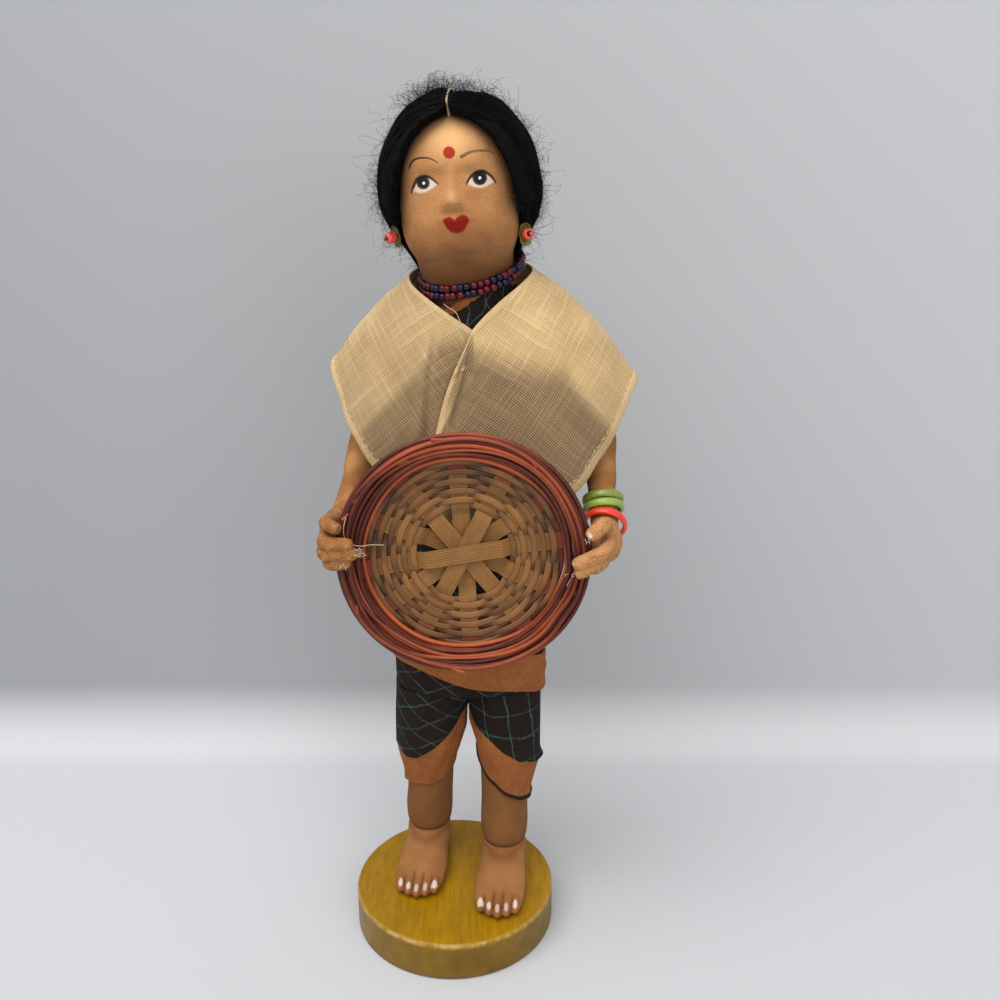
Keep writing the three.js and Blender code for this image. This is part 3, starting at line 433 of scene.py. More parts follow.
def settled(name, parts, voxel, rounds, cutters=()):
    """Joins lumps into one stretched skin: the points and faces of the smoothed result."""
    held = []
    for kind, group in (("part", parts), ("cut", cutters)):
        points, faces, start = [], [], 0
        for part_points, part_faces in group:
            points.append(part_points)
            faces += [face + start for face in outward(part_points, part_faces)]
            start += len(part_points)
        if points:
            held.append(build(f"{name}_{kind}", np.concatenate(points), faces, skin, closed=False))
    body = held[0]
    if len(held) > 1:
        fuse = body.modifiers.new("fuse", "REMESH")
        fuse.mode = "VOXEL"
        fuse.voxel_size = voxel * 0.8 * mm
        bite = body.modifiers.new("room", "BOOLEAN")
        bite.operation = "DIFFERENCE"
        bite.object = held[1]
    close = body.modifiers.new("close", "REMESH")
    close.mode = "VOXEL"
    close.voxel_size = voxel * mm
    ease = body.modifiers.new("ease", "SMOOTH")
    ease.factor = 0.5
    ease.iterations = rounds
    points, faces = baked(body)
    for one in held:
        bpy.data.objects.remove(one)
    return points, faces


def baked(piece):
    """The points in millimetres and the faces that a piece's modifiers give."""
    depsgraph = bpy.context.evaluated_depsgraph_get()
    done = bpy.data.meshes.new_from_object(piece.evaluated_get(depsgraph))
    points = np.empty(len(done.vertices) * 3)
    done.vertices.foreach_get("co", points)
    groups = {}
    for polygon in done.polygons:
        groups.setdefault(len(polygon.vertices), []).append(tuple(polygon.vertices))
    bpy.data.meshes.remove(done)
    return points.reshape(-1, 3) / mm, [np.array(group) for group in groups.values()]


def paint_points(piece, colours):
    """Stores a colour and its cover on each point, as steps of 255 and a share."""
    layer = piece.data.color_attributes.new("paint", "FLOAT_COLOR", "POINT")
    layer.data.foreach_set("color", np.asarray(colours, np.float32).ravel())


class Paint:
    """Colour laid on a piece's points, one touch over another."""

    def __init__(self, count):
        self.colour = np.zeros((count, 3))
        self.cover = np.zeros(count)

    def touch(self, share, colour):
        share = np.clip(share, 0, 1)
        tint = np.array(linear(colour)[:3])
        whole = share + self.cover * (1 - share)
        weight = (share / np.maximum(whole, 1e-6))[:, None]
        self.colour = self.colour * (1 - weight) + tint * weight
        self.cover = whole

    def lay(self, piece):
        paint_points(piece, np.column_stack([self.colour, self.cover]))


def leg_axis(leg, height):
    ankle, side = leg["ankle"], leg["side"]
    share = (height - ankle_height) / (hip_height - ankle_height)
    hip = body_x + side * (hip_half_width / 2 + 0.3)
    return np.array([
        ankle[0] + (hip - ankle[0]) * share,
        ankle[1] + (body_y + 1 - ankle[1]) * share,
        height,
    ])


def turned(points, degrees, shift):
    """Points turned about the upright and moved to their place above the disc."""
    a = math.radians(degrees)
    matrix = np.array([[math.cos(a), -math.sin(a), 0], [math.sin(a), math.cos(a), 0], [0, 0, 1]])
    return points @ matrix.T + np.array([shift[0], shift[1], disc_height])


toe_pitch = foot_width * 0.168


def bell(off, spread):
    """One at no distance, falling away over a spread."""
    return np.exp(-(off / spread) ** 2)


def toe_setback(toe):
    """How far a toe's tip stays behind the middle one's."""
    return abs(toe) ** 1.5 * 0.9


def foot_parts():
    outline = [
        (0, 0.42, 0.34), (0.06, 0.66, 0.78), (0.2, 0.84, 1), (0.38, 0.92, 1),
        (0.58, 1, 0.78), (0.76, 0.98, 0.54), (0.9, 0.84, 0.42),
    ]
    rings = []
    for share, width, tall in smooth_path(outline, 26):
        angles = whole_turn(28)
        rise = np.maximum(np.sin(angles), -0.72) + 0.72
        x = np.cos(angles) * width * foot_width / 2
        y = np.full(28, foot_heel - share * foot_length)
        rings.append(np.column_stack([x, y, 0.2 + rise * tall * ankle_height / 1.72]))
    parts = [capped(np.array(rings))]
    for toe in range(-2, 3):
        radius = toe_height / 2 * (0.92 if abs(toe) == 2 else 0.86)
        reach = foot_heel - foot_length + radius + toe_setback(toe)
        centre = (toe * toe_pitch, reach + 1.9, 0.2 + toe_height / 2)
        parts.append(ball(centre, (foot_width * 0.098, radius + 2.4, toe_height / 2), 16, 10))
    column = [(0, 0, z) for z in (1.5, 4, 7, ankle_height)]
    parts.append(tube(column, [ankle_diameter / 2 - 0.5, ankle_diameter / 2 - 0.1, ankle_diameter / 2,
                               ankle_diameter / 2 - 0.35], 32))
    return parts


foot_points, foot_faces = settled("foot", foot_parts(), 0.36, 5)
toe_tip = foot_heel - foot_length
nail_cover = (0.85, 0.8, 0.6, 0.55, 0.85)
for name, leg in legs.items():
    local = foot_points.copy()
    paint = Paint(len(local))
    on_top = smooth_step(local[:, 2], 1.0, 2.4)
    for gap_place in (-1.5, -0.5, 0.5, 1.5):
        across = np.abs(local[:, 0] - gap_place * toe_pitch * (1 + 0.012 * (local[:, 1] - toe_tip)))
        along = smooth_step(local[:, 1], toe_tip + 11.5 - abs(gap_place), toe_tip + 7.5 - abs(gap_place))
        groove = bell(across, 0.42) * along * on_top
        local[:, 2] -= 0.75 * groove
        paint.touch(0.75 * bell(across, 0.3) * along * on_top, (104, 48, 34))
    for toe in range(-2, 3):
        tip = toe_tip + toe_setback(toe)
        wide = 1.1 if toe * leg["side"] == -2 else 0.72
        far = ((local[:, 0] - toe * toe_pitch) / wide) ** 2 + ((local[:, 1] - tip - 1.7) / 1.4) ** 2
        ragged = np.array([noise.noise((x * 1.3, y * 1.3, z)) for x, y, z in local]) * 0.5 if toe == -2 else ragged
        nail = smooth_step(-far + ragged, -1.35, -0.75) * smooth_step(local[:, 2], 2.0, 3.0)
        paint.touch(nail_cover[toe + 2] * nail, (226, 210, 198))
    # The toe tips are painted a little darker.
    toe_tip_darkening = np.exp(-((local[:, 0]) / 8) ** 2 - ((local[:, 1] - toe_tip - 1) / 3.2) ** 2)
    paint.touch(0.22 * toe_tip_darkening * (1 - paint.cover), (120, 66, 46))
    if leg["side"] > 0:
        mark = ((local[:, 0] - 7.9) / 0.75) ** 2 + ((local[:, 1] - toe_tip - 4.4) / 0.8) ** 2
        paint.touch(0.75 * smooth_step(-mark, -1.6, -0.4) * on_top, (52, 38, 32))
    # A darker band painted round the ankle crease: painted shade.
    ankle_crease_shade = bell(local[:, 2] - ankle_height + 0.9, 0.55)
    paint.touch(0.5 * ankle_crease_shade * (local[:, 1] < foot_heel), (112, 66, 42))
    foot = build(f"foot_{name}_cloth", turned(local, -leg["turn"], leg["ankle"]), foot_faces, skin)
    paint.lay(foot)
    fit(foot, "figure", "skin_cotton", f"foot_{name}")

    rings, rows = [], 70
    for share in np.linspace(0, 1, rows):
        height = ankle_height + 0.3 + (hip_height - 1 - ankle_height) * share
        radius = (ankle_diameter + (thigh_diameter - ankle_diameter) * share**1.6) / 2
        radius += 0.3 * math.exp(-((share - 0.13) / 0.08) ** 2)
        radius -= 0.75 * math.exp(-(share / 0.022) ** 2)
        axis = leg_axis(leg, height)
        ring = []
        for s in range(48):
            angle = s / 48 * 2 * math.pi
            out = np.array([math.cos(angle), math.sin(angle), 0])
            lump = noise.noise((out[0] * 1.1 + leg["side"] * 7, out[1] * 1.1, height * 0.09)) * 0.28
            ring.append(axis + out * (radius + lump))
        rings.append(ring)
    points, faces = capped(np.array(rings))
    points[:, 2] += disc_height
    limb = build(f"leg_{name}_cloth", points, faces, shaded_leg_skin)
    paint = Paint(len(points))
    # A darker band painted round the ankle crease: painted shade.
    crease = points[:, 2] - disc_height - ankle_height - 0.3
    paint.touch(0.55 * bell(crease, 0.7), (104, 60, 38))
    front = bell(points[:, 0] - leg["ankle"][0] - 1.5, 1.0) * (points[:, 1] < leg["ankle"][1])
    stitches = (np.sin(crease * 2.4) > 0.2) * bell(crease - 4.5, 2.8)
    paint.touch(0.28 * front * stitches * (leg["side"] > 0), (120, 74, 48))
    paint.lay(limb)
    fit(limb, "figure", "skin_cotton", f"leg_{name}")


# The torso
# A stuffed stockinette trunk on the spine wire. Only the hollow of the throat shows, in the
# gap between the beads and the clothes.

waist_height, chest_height, shoulder_height, torso_top = 115.0, 160.0, 186.0, 197.0
neck_half = np.array([13.3, 12.5])
neck_centre = np.array([7.0, 12.0])
torso_stations = np.array([
    (hip_height, 19.0, 10.2), (hip_height + 3, 22.6, 12.9), (hip_height + 8, 23.8, 13.6),
    (hip_height + 24, 23.1, 13.6), (waist_height, 18.5, 12.2), (chest_height, 20.5, 12.8),
    (shoulder_height, 19.7, 12.2), (191.5, 17.2, 12.5), (torso_top, 13.3, 11.9),
])


def torso_size(height, soft=2.5):
    """Half width and half depth of the body at a height, its corners eased."""
    spread = np.linspace(-soft, soft, 7)
    heights = np.asarray(height, float)[..., None] + spread
    return [np.interp(heights, torso_stations[:, 0], torso_stations[:, k]).mean(-1) for k in (1, 2)]


def body_points(heights, angles, grow=0.0):
    """Points round the body, a distance off its skin, above the disc."""
    heights, angles = np.broadcast_arrays(np.asarray(heights, float), angles)
    wide, deep = torso_size(heights)
    lean = 3.5 * (heights - hip_height) / (torso_top - hip_height)
    return np.stack([
        body_x + lean + np.cos(angles) * (wide + grow),
        body_y + np.sin(angles) * (deep + grow),
        heights + disc_height,
    ], -1)


round_64 = whole_turn(64)
trunk_heights = np.linspace(hip_height + 0.2, torso_top, 70)
points, faces = capped(body_points(trunk_heights[:, None], round_64[None, :], -0.1))
trunk = build("trunk", points, faces, skin)
Paint(len(points)).lay(trunk)
fit(trunk, "figure", "body_cotton", "torso")


# The head and its painted face
# One piece of fine stockinette pulled over the wound core and down the neck. Nose, lips and
# sockets are pinched in with hidden stitches, and the features are painted on.

head_centre = np.array([3.8, 9.5, 229.3 + disc_height])
head_half = np.array([16.8, 17.2, 21.0])


def rotation(x, y, z):
    """Turns about X, then Y, then Z, in degrees."""
    matrix = np.eye(3)
    for axis, degrees in enumerate((x, y, z)):
        a = math.radians(degrees)
        turn = np.eye(3)
        i, j = [(1, 2), (2, 0), (0, 1)][axis]
        turn[i, i] = turn[j, j] = math.cos(a)
        turn[i, j], turn[j, i] = -math.sin(a), math.sin(a)
        matrix = turn @ matrix
    return matrix


head_turn = rotation(-15, -5.5, -5)


def on_head(local):
    return local @ head_turn.T + head_centre


def in_head(points):
    return (points - head_centre) @ head_turn


def egg_size(share):
    """Half width, half depth and forward shift of the head at a height from chin to crown."""
    high, low = np.clip(share, 0, 1), np.clip(-share, 0, 1)
    crown = np.sqrt(np.clip(1 - high**2.25, 0, 1))
    wide = np.where(share > 0, crown, 1 - 0.5 * low**5.5) * head_half[0]
    deep = np.where(share > 0, crown, 1 - 0.58 * low**4) * head_half[1]
    return wide, deep, 0.14 * smooth_step(low, 0.3, 0.95) * head_half[1]


def soft_least(a, b, reach):
    share = np.clip(0.5 + 0.5 * (b - a) / reach, 0, 1)
    return b * (1 - share) + a * share - reach * share * (1 - share)


def off_head(points):
    """About how far points stand off the skin of head and neck, less than nothing inside."""
    local = in_head(points)
    wide, deep, forward = egg_size(local[..., 2] / head_half[2])
    ring = np.hypot(local[..., 0] / np.maximum(wide, 0.05), (local[..., 1] + forward) / np.maximum(deep, 0.05))
    side = (ring - 1) * np.minimum(wide, deep)
    chin = -local[..., 2] - head_half[2]
    head = -soft_least(-side, -chin, 4.0)
    z = points[..., 2] - disc_height
    up = np.clip((z - torso_top) / 26, 0, 1.3)
    neck_x = neck_centre[0] + (3.6 - neck_centre[0]) * up
    reach = [(points[..., 0] - neck_x) / (neck_half[0] + 2.3 * up), (points[..., 1] - neck_centre[1]) / neck_half[1]]
    neck = (np.hypot(*reach) - 1) * 12.5 + np.clip(z - 224, 0, 40) * 0.6
    return soft_least(head, neck, 5.0)


def shone(origins, ways, far=46.0):
    """Where rays from inside leave the skin, looked for from far outside."""
    hit = np.zeros(ways.shape[:-1])
    open_still = np.ones(hit.shape, bool)
    step = 0.5
    for t in np.arange(far, 0, -step):
        inside = off_head(origins + ways * t) < 0
        hit[open_still & inside] = t
        open_still &= ~inside
    low, high = hit, hit + step
    for _ in range(9):
        middle = (low + high) / 2
        inside = off_head(origins + ways * middle[..., None]) < 0
        low, high = np.where(inside, middle, low), np.where(inside, high, middle)
    return origins + ways * low[..., None]


face_forms = [
    (0, -8.0, 2.3, 2.5, 1.9), (0, -3.2, 1.7, 4.6, 1.0), (-1.9, -8.9, 1.1, 1.1, 0.5), (1.9, -8.9, 1.1, 1.1, 0.5),
    (0, -13.0, 3.6, 1.5, 0.8), (0, -15.0, 2.6, 1.2, 0.5), (0, -10.9, 4.0, 0.7, -0.35), (0, -19.0, 5, 2.6, 1.0),
    (-6.6, -0.2, 3.9, 2.6, -1.0), (6.6, -0.2, 3.9, 2.6, -1.0), (-8.6, -7.5, 4.0, 4.4, 0.45),
    (8.6, -7.5, 4.0, 4.4, 0.45),
]
face_columns, neck_rows, crown_rows = 264, 148, 132
columns = np.arange(face_columns) / (face_columns // 2) - 1
turns = np.radians(-90 + 180 * (0.55 * columns + 0.45 * columns**3))
level_z = np.linspace(torso_top + disc_height + 0.1, head_centre[2], neck_rows)
share = ((level_z - level_z[0]) / (level_z[-1] - level_z[0]))[:, None, None]
level_from = np.array([*neck_centre, 0]) * (1 - share) + np.array([*head_centre[:2], 0]) * share
level_from = level_from + np.array([0, 0, 1.0]) * level_z[:, None, None]
level_way = np.stack([np.cos(turns), np.sin(turns), np.zeros(face_columns)], -1)[None].repeat(neck_rows, 0)
tilts = np.radians(np.linspace(0, 89.2, crown_rows))[1:, None]
crown_way = np.stack([np.cos(turns) * np.cos(tilts), np.sin(turns) * np.cos(tilts),
                      np.broadcast_to(np.sin(tilts), (crown_rows - 1, face_columns))], -1)
rows = [shone(level_from + 0 * level_way, level_way), shone(head_centre + 0 * crown_way, crown_way)]
local = in_head(np.concatenate(rows))
wide, deep, forward = egg_size(local[..., 2] / head_half[2])
ahead = np.clip(-(local[..., 1] + forward) / np.maximum(deep, 1e-9), 0, 1)
for x, z, half_wide, half_tall, rise in face_forms:
    far = ((local[..., 0] - x) / half_wide) ** 2 + ((local[..., 2] - z) / half_tall) ** 2
    local[..., 1] -= rise * np.exp(-far) * ahead
head_points, head_faces = capped(on_head(local))

# The places of the painted features were measured in the photograph, so they are given on a
# flat sheet as the camera sees the head. The paint is then stored on the cloth's own points.
focal_pixels, pixel_size = 1050, 0.3
sheet_reach, sheet_middle = focal_pixels * pixel_size, np.array([-14.1, 93.0])


def on_sheet(points):
    """Where the camera sees points, in millimetres from the middle of the face."""
    away = points - np.array(view_place) / mm
    sine, cosine = math.sin(view_tip), math.cos(view_tip)
    depth = away[:, 1] * sine - away[:, 2] * cosine
    upward = away[:, 1] * cosine + away[:, 2] * sine
    return np.column_stack([away[:, 0], upward]) / depth[:, None] * sheet_reach - sheet_middle


def near_line(spots, path):
    """How far spots lie from a bent line, and how far along it they are."""
    path = np.asarray(path, float)
    best, along = np.full(len(spots), 1e9), np.zeros(len(spots))
    for i in range(len(path) - 1):
        span = path[i + 1] - path[i]
        t = np.clip((spots - path[i]) @ span / (span @ span), 0, 1)
        far = np.linalg.norm(spots - path[i] - t[:, None] * span, axis=1)
        closer = far < best
        best[closer], along[closer] = far[closer], (i + t[closer]) / (len(path) - 1)
    return best, along


def within(spots, outline):
    """How far spots lie inside a closed outline, less than nothing outside."""
    outline = np.asarray(outline, float)
    inside = np.zeros(len(spots), bool)
    for a, b in zip(outline, np.roll(outline, -1, 0)):
        crosses = (a[1] > spots[:, 1]) != (b[1] > spots[:, 1])
        rise = b[1] - a[1] if b[1] != a[1] else 1e-9
        inside ^= crosses & (spots[:, 0] < (b[0] - a[0]) * (spots[:, 1] - a[1]) / rise + a[0])
    far, _ = near_line(spots, np.vstack([outline, outline[:1]]))
    return np.where(inside, far, -far)


def edge_soft(depth, soft=0.13):
    return smooth_step(depth, -soft, soft)


spots = on_sheet(head_points)
spots += np.array([[noise.noise((x * 2.1, y * 2.1, 3.0)), noise.noise((x * 2.1, y * 2.1, 9.0))]
                   for x, y in spots]) * 0.1
grain = np.array([noise.noise((x * 4.2, y * 4.2, 0.0)) for x, y in spots])
local = in_head(head_points)
facing = local[:, 1] < 2
paint = Paint(len(head_points))
# Painted shade: the lower face and chin darker, and the neck much darker just above the beads.
paint.touch(0.3 * smooth_step(-local[:, 2], 9, 24), (138, 94, 58))
paint.touch(0.24 * smooth_step(-local[:, 2], 20, 27), (104, 66, 38))
paint.touch(0.75 * smooth_step(-head_points[:, 2], -229, -217), (72, 42, 22))
# Dabs of painted shade in the eye sockets and above the lids, under the nose, round the mouth and on the cheeks and
# jaw, and of painted highlight on the bridge and tip of the nose and on the forehead. The two small dark dots are the
# nostrils.
shade_and_highlight_dabs = [
    (-4.4, 5.9, 3.0, 1.9, 0.5, (112, 72, 42)), (4.6, 6.6, 3.3, 2.1, 0.5, (112, 72, 42)),
    (-9.5, 5.6, 3.4, 1.2, 0.22, (128, 86, 52)), (9.2, 7.6, 3.6, 1.4, 0.22, (128, 86, 52)),
    (-0.1, -4.4, 2.0, 0.6, 0.26, (112, 68, 42)), (-1.5, -4.35, 0.55, 0.4, 0.4, (76, 46, 34)),
    (1.5, -4.15, 0.55, 0.4, 0.4, (76, 46, 34)), (0, -6.0, 2.0, 1.1, 0.16, (120, 76, 46)),
    (-4.3, -9.3, 1.5, 0.8, 0.3, (120, 66, 44)), (5.6, -9.2, 1.4, 0.8, 0.28, (120, 66, 44)),
    (0.4, -14.0, 3.4, 1.0, 0.22, (118, 76, 46)), (9.8, -14, 2.2, 3.2, 0.16, (110, 66, 48)),
    (-0.4, 1.5, 1.5, 4.6, 0.2, (214, 166, 118)), (-0.3, -1.9, 1.9, 1.7, 0.4, (220, 174, 126)),
    (-0.8, 15.5, 8.5, 6.5, 0.6, (238, 188, 132)), (-8.6, -5.6, 4.5, 4.5, 0.3, (160, 108, 66)),
    (8.6, -5.0, 4.5, 4.5, 0.2, (160, 108, 66)),
]
for x, y, wide, tall, share, colour in shade_and_highlight_dabs:
    far = ((spots[:, 0] - x) / wide) ** 2 + ((spots[:, 1] - y) / tall) ** 2
    paint.touch(share * np.exp(-far) * facing, colour)

red_mark = within(spots, [(-1.19 + 1.85 * math.cos(a), 11.2 + 1.9 * math.sin(a)) for a in np.linspace(0, 6.1, 24)])
paint.touch(0.93 * edge_soft(red_mark + 0.22 * grain, 0.2) * facing, (150, 20, 12))

eyes = [
    {"lid": [(-12.49, -0.97), (-12.1, 0.4), (-11.71, 1.33), (-10.88, 3.0), (-9.5, 3.95), (-7.9, 4.05), (-6.3, 3.3),
             (-4.35, 1.65)],
     "low": [(-4.63, 1.56), (-6.06, 0.41), (-8.12, -0.74), (-10.19, -1.1), (-11.7, -0.6)],
     "iris": (-8.95, 2.11, 1.95), "light": (-8.77, 2.05)},
    {"lid": [(4.09, 1.55), (4.5, 2.8), (5.65, 4.3), (7.3, 5.45), (9.1, 5.6), (10.8, 4.7), (12.08, 3.3), (12.85, 2.05)],
     "low": [(12.17, 2.11), (10.47, 1.2), (8.4, 0.5), (6.34, 0.75), (4.96, 1.45)],
     "iris": (8.04, 3.63, 2.2), "light": (8.04, 3.63)},
]
for eye in eyes:
    lid = smooth_path(eye["lid"], 40)
    opening = np.vstack([lid, smooth_path(eye["low"], 30)])
    room = within(spots, opening)
    paint.touch(0.76 * edge_soft(room - 0.1, 0.36) * facing, (214, 196, 178))
    x, y, radius = eye["iris"]
    off = radius - np.hypot(spots[:, 0] - x, spots[:, 1] - y)
    clear = edge_soft(room + 0.15, 0.16)
    paint.touch(0.96 * edge_soft(off, 0.16) * clear * facing, (10, 11, 13))
    paint.touch(0.8 * edge_soft(off - 0.8, 0.3) * clear * facing, (3, 3, 4))
    x, y = eye["light"]
    far = np.hypot(spots[:, 0] - x, spots[:, 1] - y)
    paint.touch(0.3 * bell(far, 0.7) * facing, (60, 74, 90))
    paint.touch(0.95 * smooth_step(-far, -0.48, -0.28) * facing, (236, 242, 248))
    far, along = near_line(spots, lid)
    thick = 0.2 + 0.3 * np.sin(np.clip(along, 0, 1) * math.pi) ** 0.8
    paint.touch(0.94 * edge_soft(thick - far, 0.13) * facing, (14, 13, 13))
    far, along = near_line(spots, lid + np.array([0, 0.75]))
    paint.touch(0.22 * bell(far, 0.35) * facing, (96, 62, 40))
    far, along = near_line(spots, smooth_path(eye["low"], 30))
    paint.touch(0.3 * edge_soft(0.12 - far, 0.14) * facing, (120, 86, 62))

brow = smooth_path([(-13.2, 6.5), (-12.1, 8.7), (-9.96, 9.6), (-7.21, 9.5), (-4.6, 8.3)], 40)
far, along = near_line(spots, brow)
thick = 0.15 + 0.2 * np.sin(np.clip(0.15 + along * 0.8, 0, 1) * math.pi)
paint.touch(0.92 * edge_soft(thick - far, 0.14) * facing, (40, 26, 18))
brow = smooth_path([(2.55, 10.0), (4.27, 10.97), (6.57, 11.7), (9.33, 11.85), (11.16, 11.5), (12.6, 10.7)], 40)
far, along = near_line(spots, brow)
thick = 0.56 - 0.4 * along
dotted = smooth_step(np.sin(spots[:, 0] * 7.5 + spots[:, 1] * 5.0) + grain * 1.4, -0.5, 0.3)
paint.touch((0.98 - 0.25 * along) * edge_soft(thick - far, 0.2) * (0.45 + 0.55 * dotted) * facing, (36, 24, 16))

lips = [(-2.98, -9.23), (-2.15, -8.45), (-1.0, -8.17), (-0.09, -8.77), (0.46, -9.23), (1.06, -8.54), (2.2, -7.76),
        (3.45, -7.62), (4.73, -8.91), (4.04, -10.6), (3.13, -11.99), (1.52, -12.77), (-0.32, -12.58), (-1.69, -11.53),
        (-2.38, -10.38)]
room = within(spots, smooth_path(lips, 60, closed=True))
paint.touch(0.95 * edge_soft(room + 0.15 + 0.3 * grain, 0.26) * facing, (126, 12, 10))
parting_line, _ = near_line(spots, [(-2.6, -9.5), (-1.0, -9.9), (0.6, -10.2), (2.3, -9.7), (4.2, -9.1)])
paint.touch(0.4 * bell(parting_line, 0.3) * edge_soft(room, 0.2), (92, 8, 10))

face_cloth = skin_cloth("face_stockinette", (206, 152, 100), (150, 100, 60), 0.55, 0.72)
face = build("face_cover", head_points, head_faces, face_cloth)
paint.lay(face)
fit(face, "figure", "face_cotton", "head_cover")


# The hair
# Black mohair combed from a centre parting, glued to the head in two halves and wound into
# a bun at the nape. Loose fibres stand off it all round, and a cream thread holds the parting.

hair_radii = np.array([23.6, 23.2, 28.4])
hair_middle = np.array([0, 1.5, 0])


def node_tree(name, given):
    """An empty Geometry Nodes tree with named inputs."""
    tree = bpy.data.node_groups.new(name, "GeometryNodeTree")
    tree.interface.new_socket("Geometry", in_out="INPUT", socket_type="NodeSocketGeometry")
    for label, kind, value in given:
        socket = tree.interface.new_socket(label, in_out="INPUT", socket_type="NodeSocket" + kind)
        if value is not None:
            socket.default_value = value
    tree.interface.new_socket("Geometry", in_out="OUTPUT", socket_type="NodeSocketGeometry")
    return tree


def step_of(tree, kind, **given):
    """One more step of a tree: capital names are its inputs, small ones its settings."""
    new = tree.nodes.new(kind)
    for name, value in given.items():
        if name[0].islower():
            setattr(new, name, value)
    for name, value in given.items():
        if name[0].isupper():
            socket = new.inputs[name.replace("_", " ")]
            if isinstance(value, bpy.types.NodeSocket):
                tree.links.new(value, socket)
            else:
                socket.default_value = value
    return new.outputs[0]


def end_tree(tree, mesh, start):
    mesh = step_of(tree, "GeometryNodeRealizeInstances", Geometry=mesh)
    mesh = step_of(tree, "GeometryNodeSetShadeSmooth", Geometry=mesh)
    mesh = step_of(tree, "GeometryNodeSetMaterial", Geometry=mesh, Material=start["Material"])
    tree.links.new(mesh, tree.nodes.new("NodeGroupOutput").inputs[0])
    return tree


def sweep_tree(name, flat):
    """Sweeps a round or flattened section along every chain of edges."""
    tree = node_tree(name, [("Sides", "Int", 3), ("Flatness", "Float", 1.0), ("Material", "Material", None)])
    start = tree.nodes.new("NodeGroupInput").outputs
    curve = step_of(tree, "GeometryNodeMeshToCurve", Mesh=start["Geometry"])
    if flat:
        face = step_of(tree, "GeometryNodeInputNamedAttribute", data_type="FLOAT_VECTOR", Name="face")
        curve = step_of(tree, "GeometryNodeSetCurveNormal", mode="FREE", Curve=curve, Normal=face)
    width = step_of(tree, "GeometryNodeInputNamedAttribute", data_type="FLOAT", Name="width")
    ring = step_of(tree, "GeometryNodeCurvePrimitiveCircle", mode="RADIUS", Resolution=start["Sides"], Radius=1.0)
    stretch = step_of(tree, "ShaderNodeCombineXYZ", X=start["Flatness"], Y=1.0, Z=1.0)
    ring = step_of(tree, "GeometryNodeTransform", Geometry=ring, Scale=stretch)
    mesh = step_of(tree, "GeometryNodeCurveToMesh", Curve=curve, Profile_Curve=ring, Scale=width, Fill_Caps=True)
    return end_tree(tree, mesh, start)


thread_tree = sweep_tree("thread", False)
strip_tree = sweep_tree("flat_strip", True)


def grown(name, mesh, tree, **given):
    """A piece that a tree makes from a plain mesh, kept as a mesh of its own."""
    piece = place(name, mesh)
    growth = piece.modifiers.new("growth", "NODES")
    growth.node_group = tree
    for item in tree.interface.items_tree:
        if item.in_out == "INPUT" and item.name in given:
            growth[item.identifier] = given[item.name]
    done = bpy.data.meshes.new_from_object(piece.evaluated_get(bpy.context.evaluated_depsgraph_get()))
    piece.modifiers.remove(growth)
    piece.data = done
    bpy.data.meshes.remove(mesh)
    return piece


def strands(name, paths, widths, made, tints=0.5, sides=3, closed=False, faces=None, flatness=1.0):
    """Threads along a list of paths: each with its half widths and its tint, in millimetres."""
    paths = [np.asarray(path, float) for path in paths]
    counts = [len(path) for path in paths]
    starts = np.cumsum([0] + counts)
    edges = []
    for start, count in zip(starts, counts):
        edges += [(start + i, start + (i + 1) % count) for i in range(count if closed else count - 1)]
    mesh = bpy.data.meshes.new(name)
    mesh.from_pydata((np.concatenate(paths) * mm).tolist(), [(int(a), int(b)) for a, b in edges], [])

    def even(values):
        values = [values] * len(paths) if np.isscalar(values) else values
        return np.concatenate([np.broadcast_to(v, (n,)) for v, n in zip(values, counts)]).astype(np.float32)

    mesh.attributes.new("width", "FLOAT", "POINT").data.foreach_set("value", even(widths) * mm)
    mesh.attributes.new("tint", "FLOAT", "POINT").data.foreach_set("value", even(tints))
    tree = thread_tree
    if faces is not None:
        tree = strip_tree
        mesh.attributes.new("face", "FLOAT_VECTOR", "POINT").data.foreach_set(
            "vector", np.concatenate(faces).astype(np.float32).ravel())
    return grown(name, mesh, tree, Sides=sides, Flatness=flatness, Material=made)


mohair = finish("black_mohair", (12, 12, 13), 0.75, Specular_IOR_Level=0.06)
shade = attribute(mohair, "tint")
streak = cloudy(mohair, on_piece(mohair, scale=(0.7, 0.7, 0.7)), 1.3, 4, 0.7)
black = mixed(mohair, range_of(mohair, streak, 0.35, 0.7), (5, 5, 5), (14, 14, 14))
wire(mohair, Base_Color=mixed(mohair, range_of(mohair, shade, 0.45, 1.0), black, (34, 34, 36)))
raised(mohair, streak, 0.35, 0.8)


def copied(node):
    """The points in millimetres and the faces of a solid, its doubles merged."""
    work = bmesh.new()
    work.from_mesh(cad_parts[node].data)
    bmesh.ops.remove_doubles(work, verts=work.verts, dist=1e-6)
    points = np.array([vertex.co[:] for vertex in work.verts]) / mm
    faces = np.array([[vertex.index for vertex in face.verts] for face in work.faces])
    work.free()
    return points, [faces]


def surface_of(points, faces):
    return BVHTree.FromPolygons(points.tolist(), [row.tolist() for group in faces for row in group])


head_skin = surface_of(head_points, head_faces)


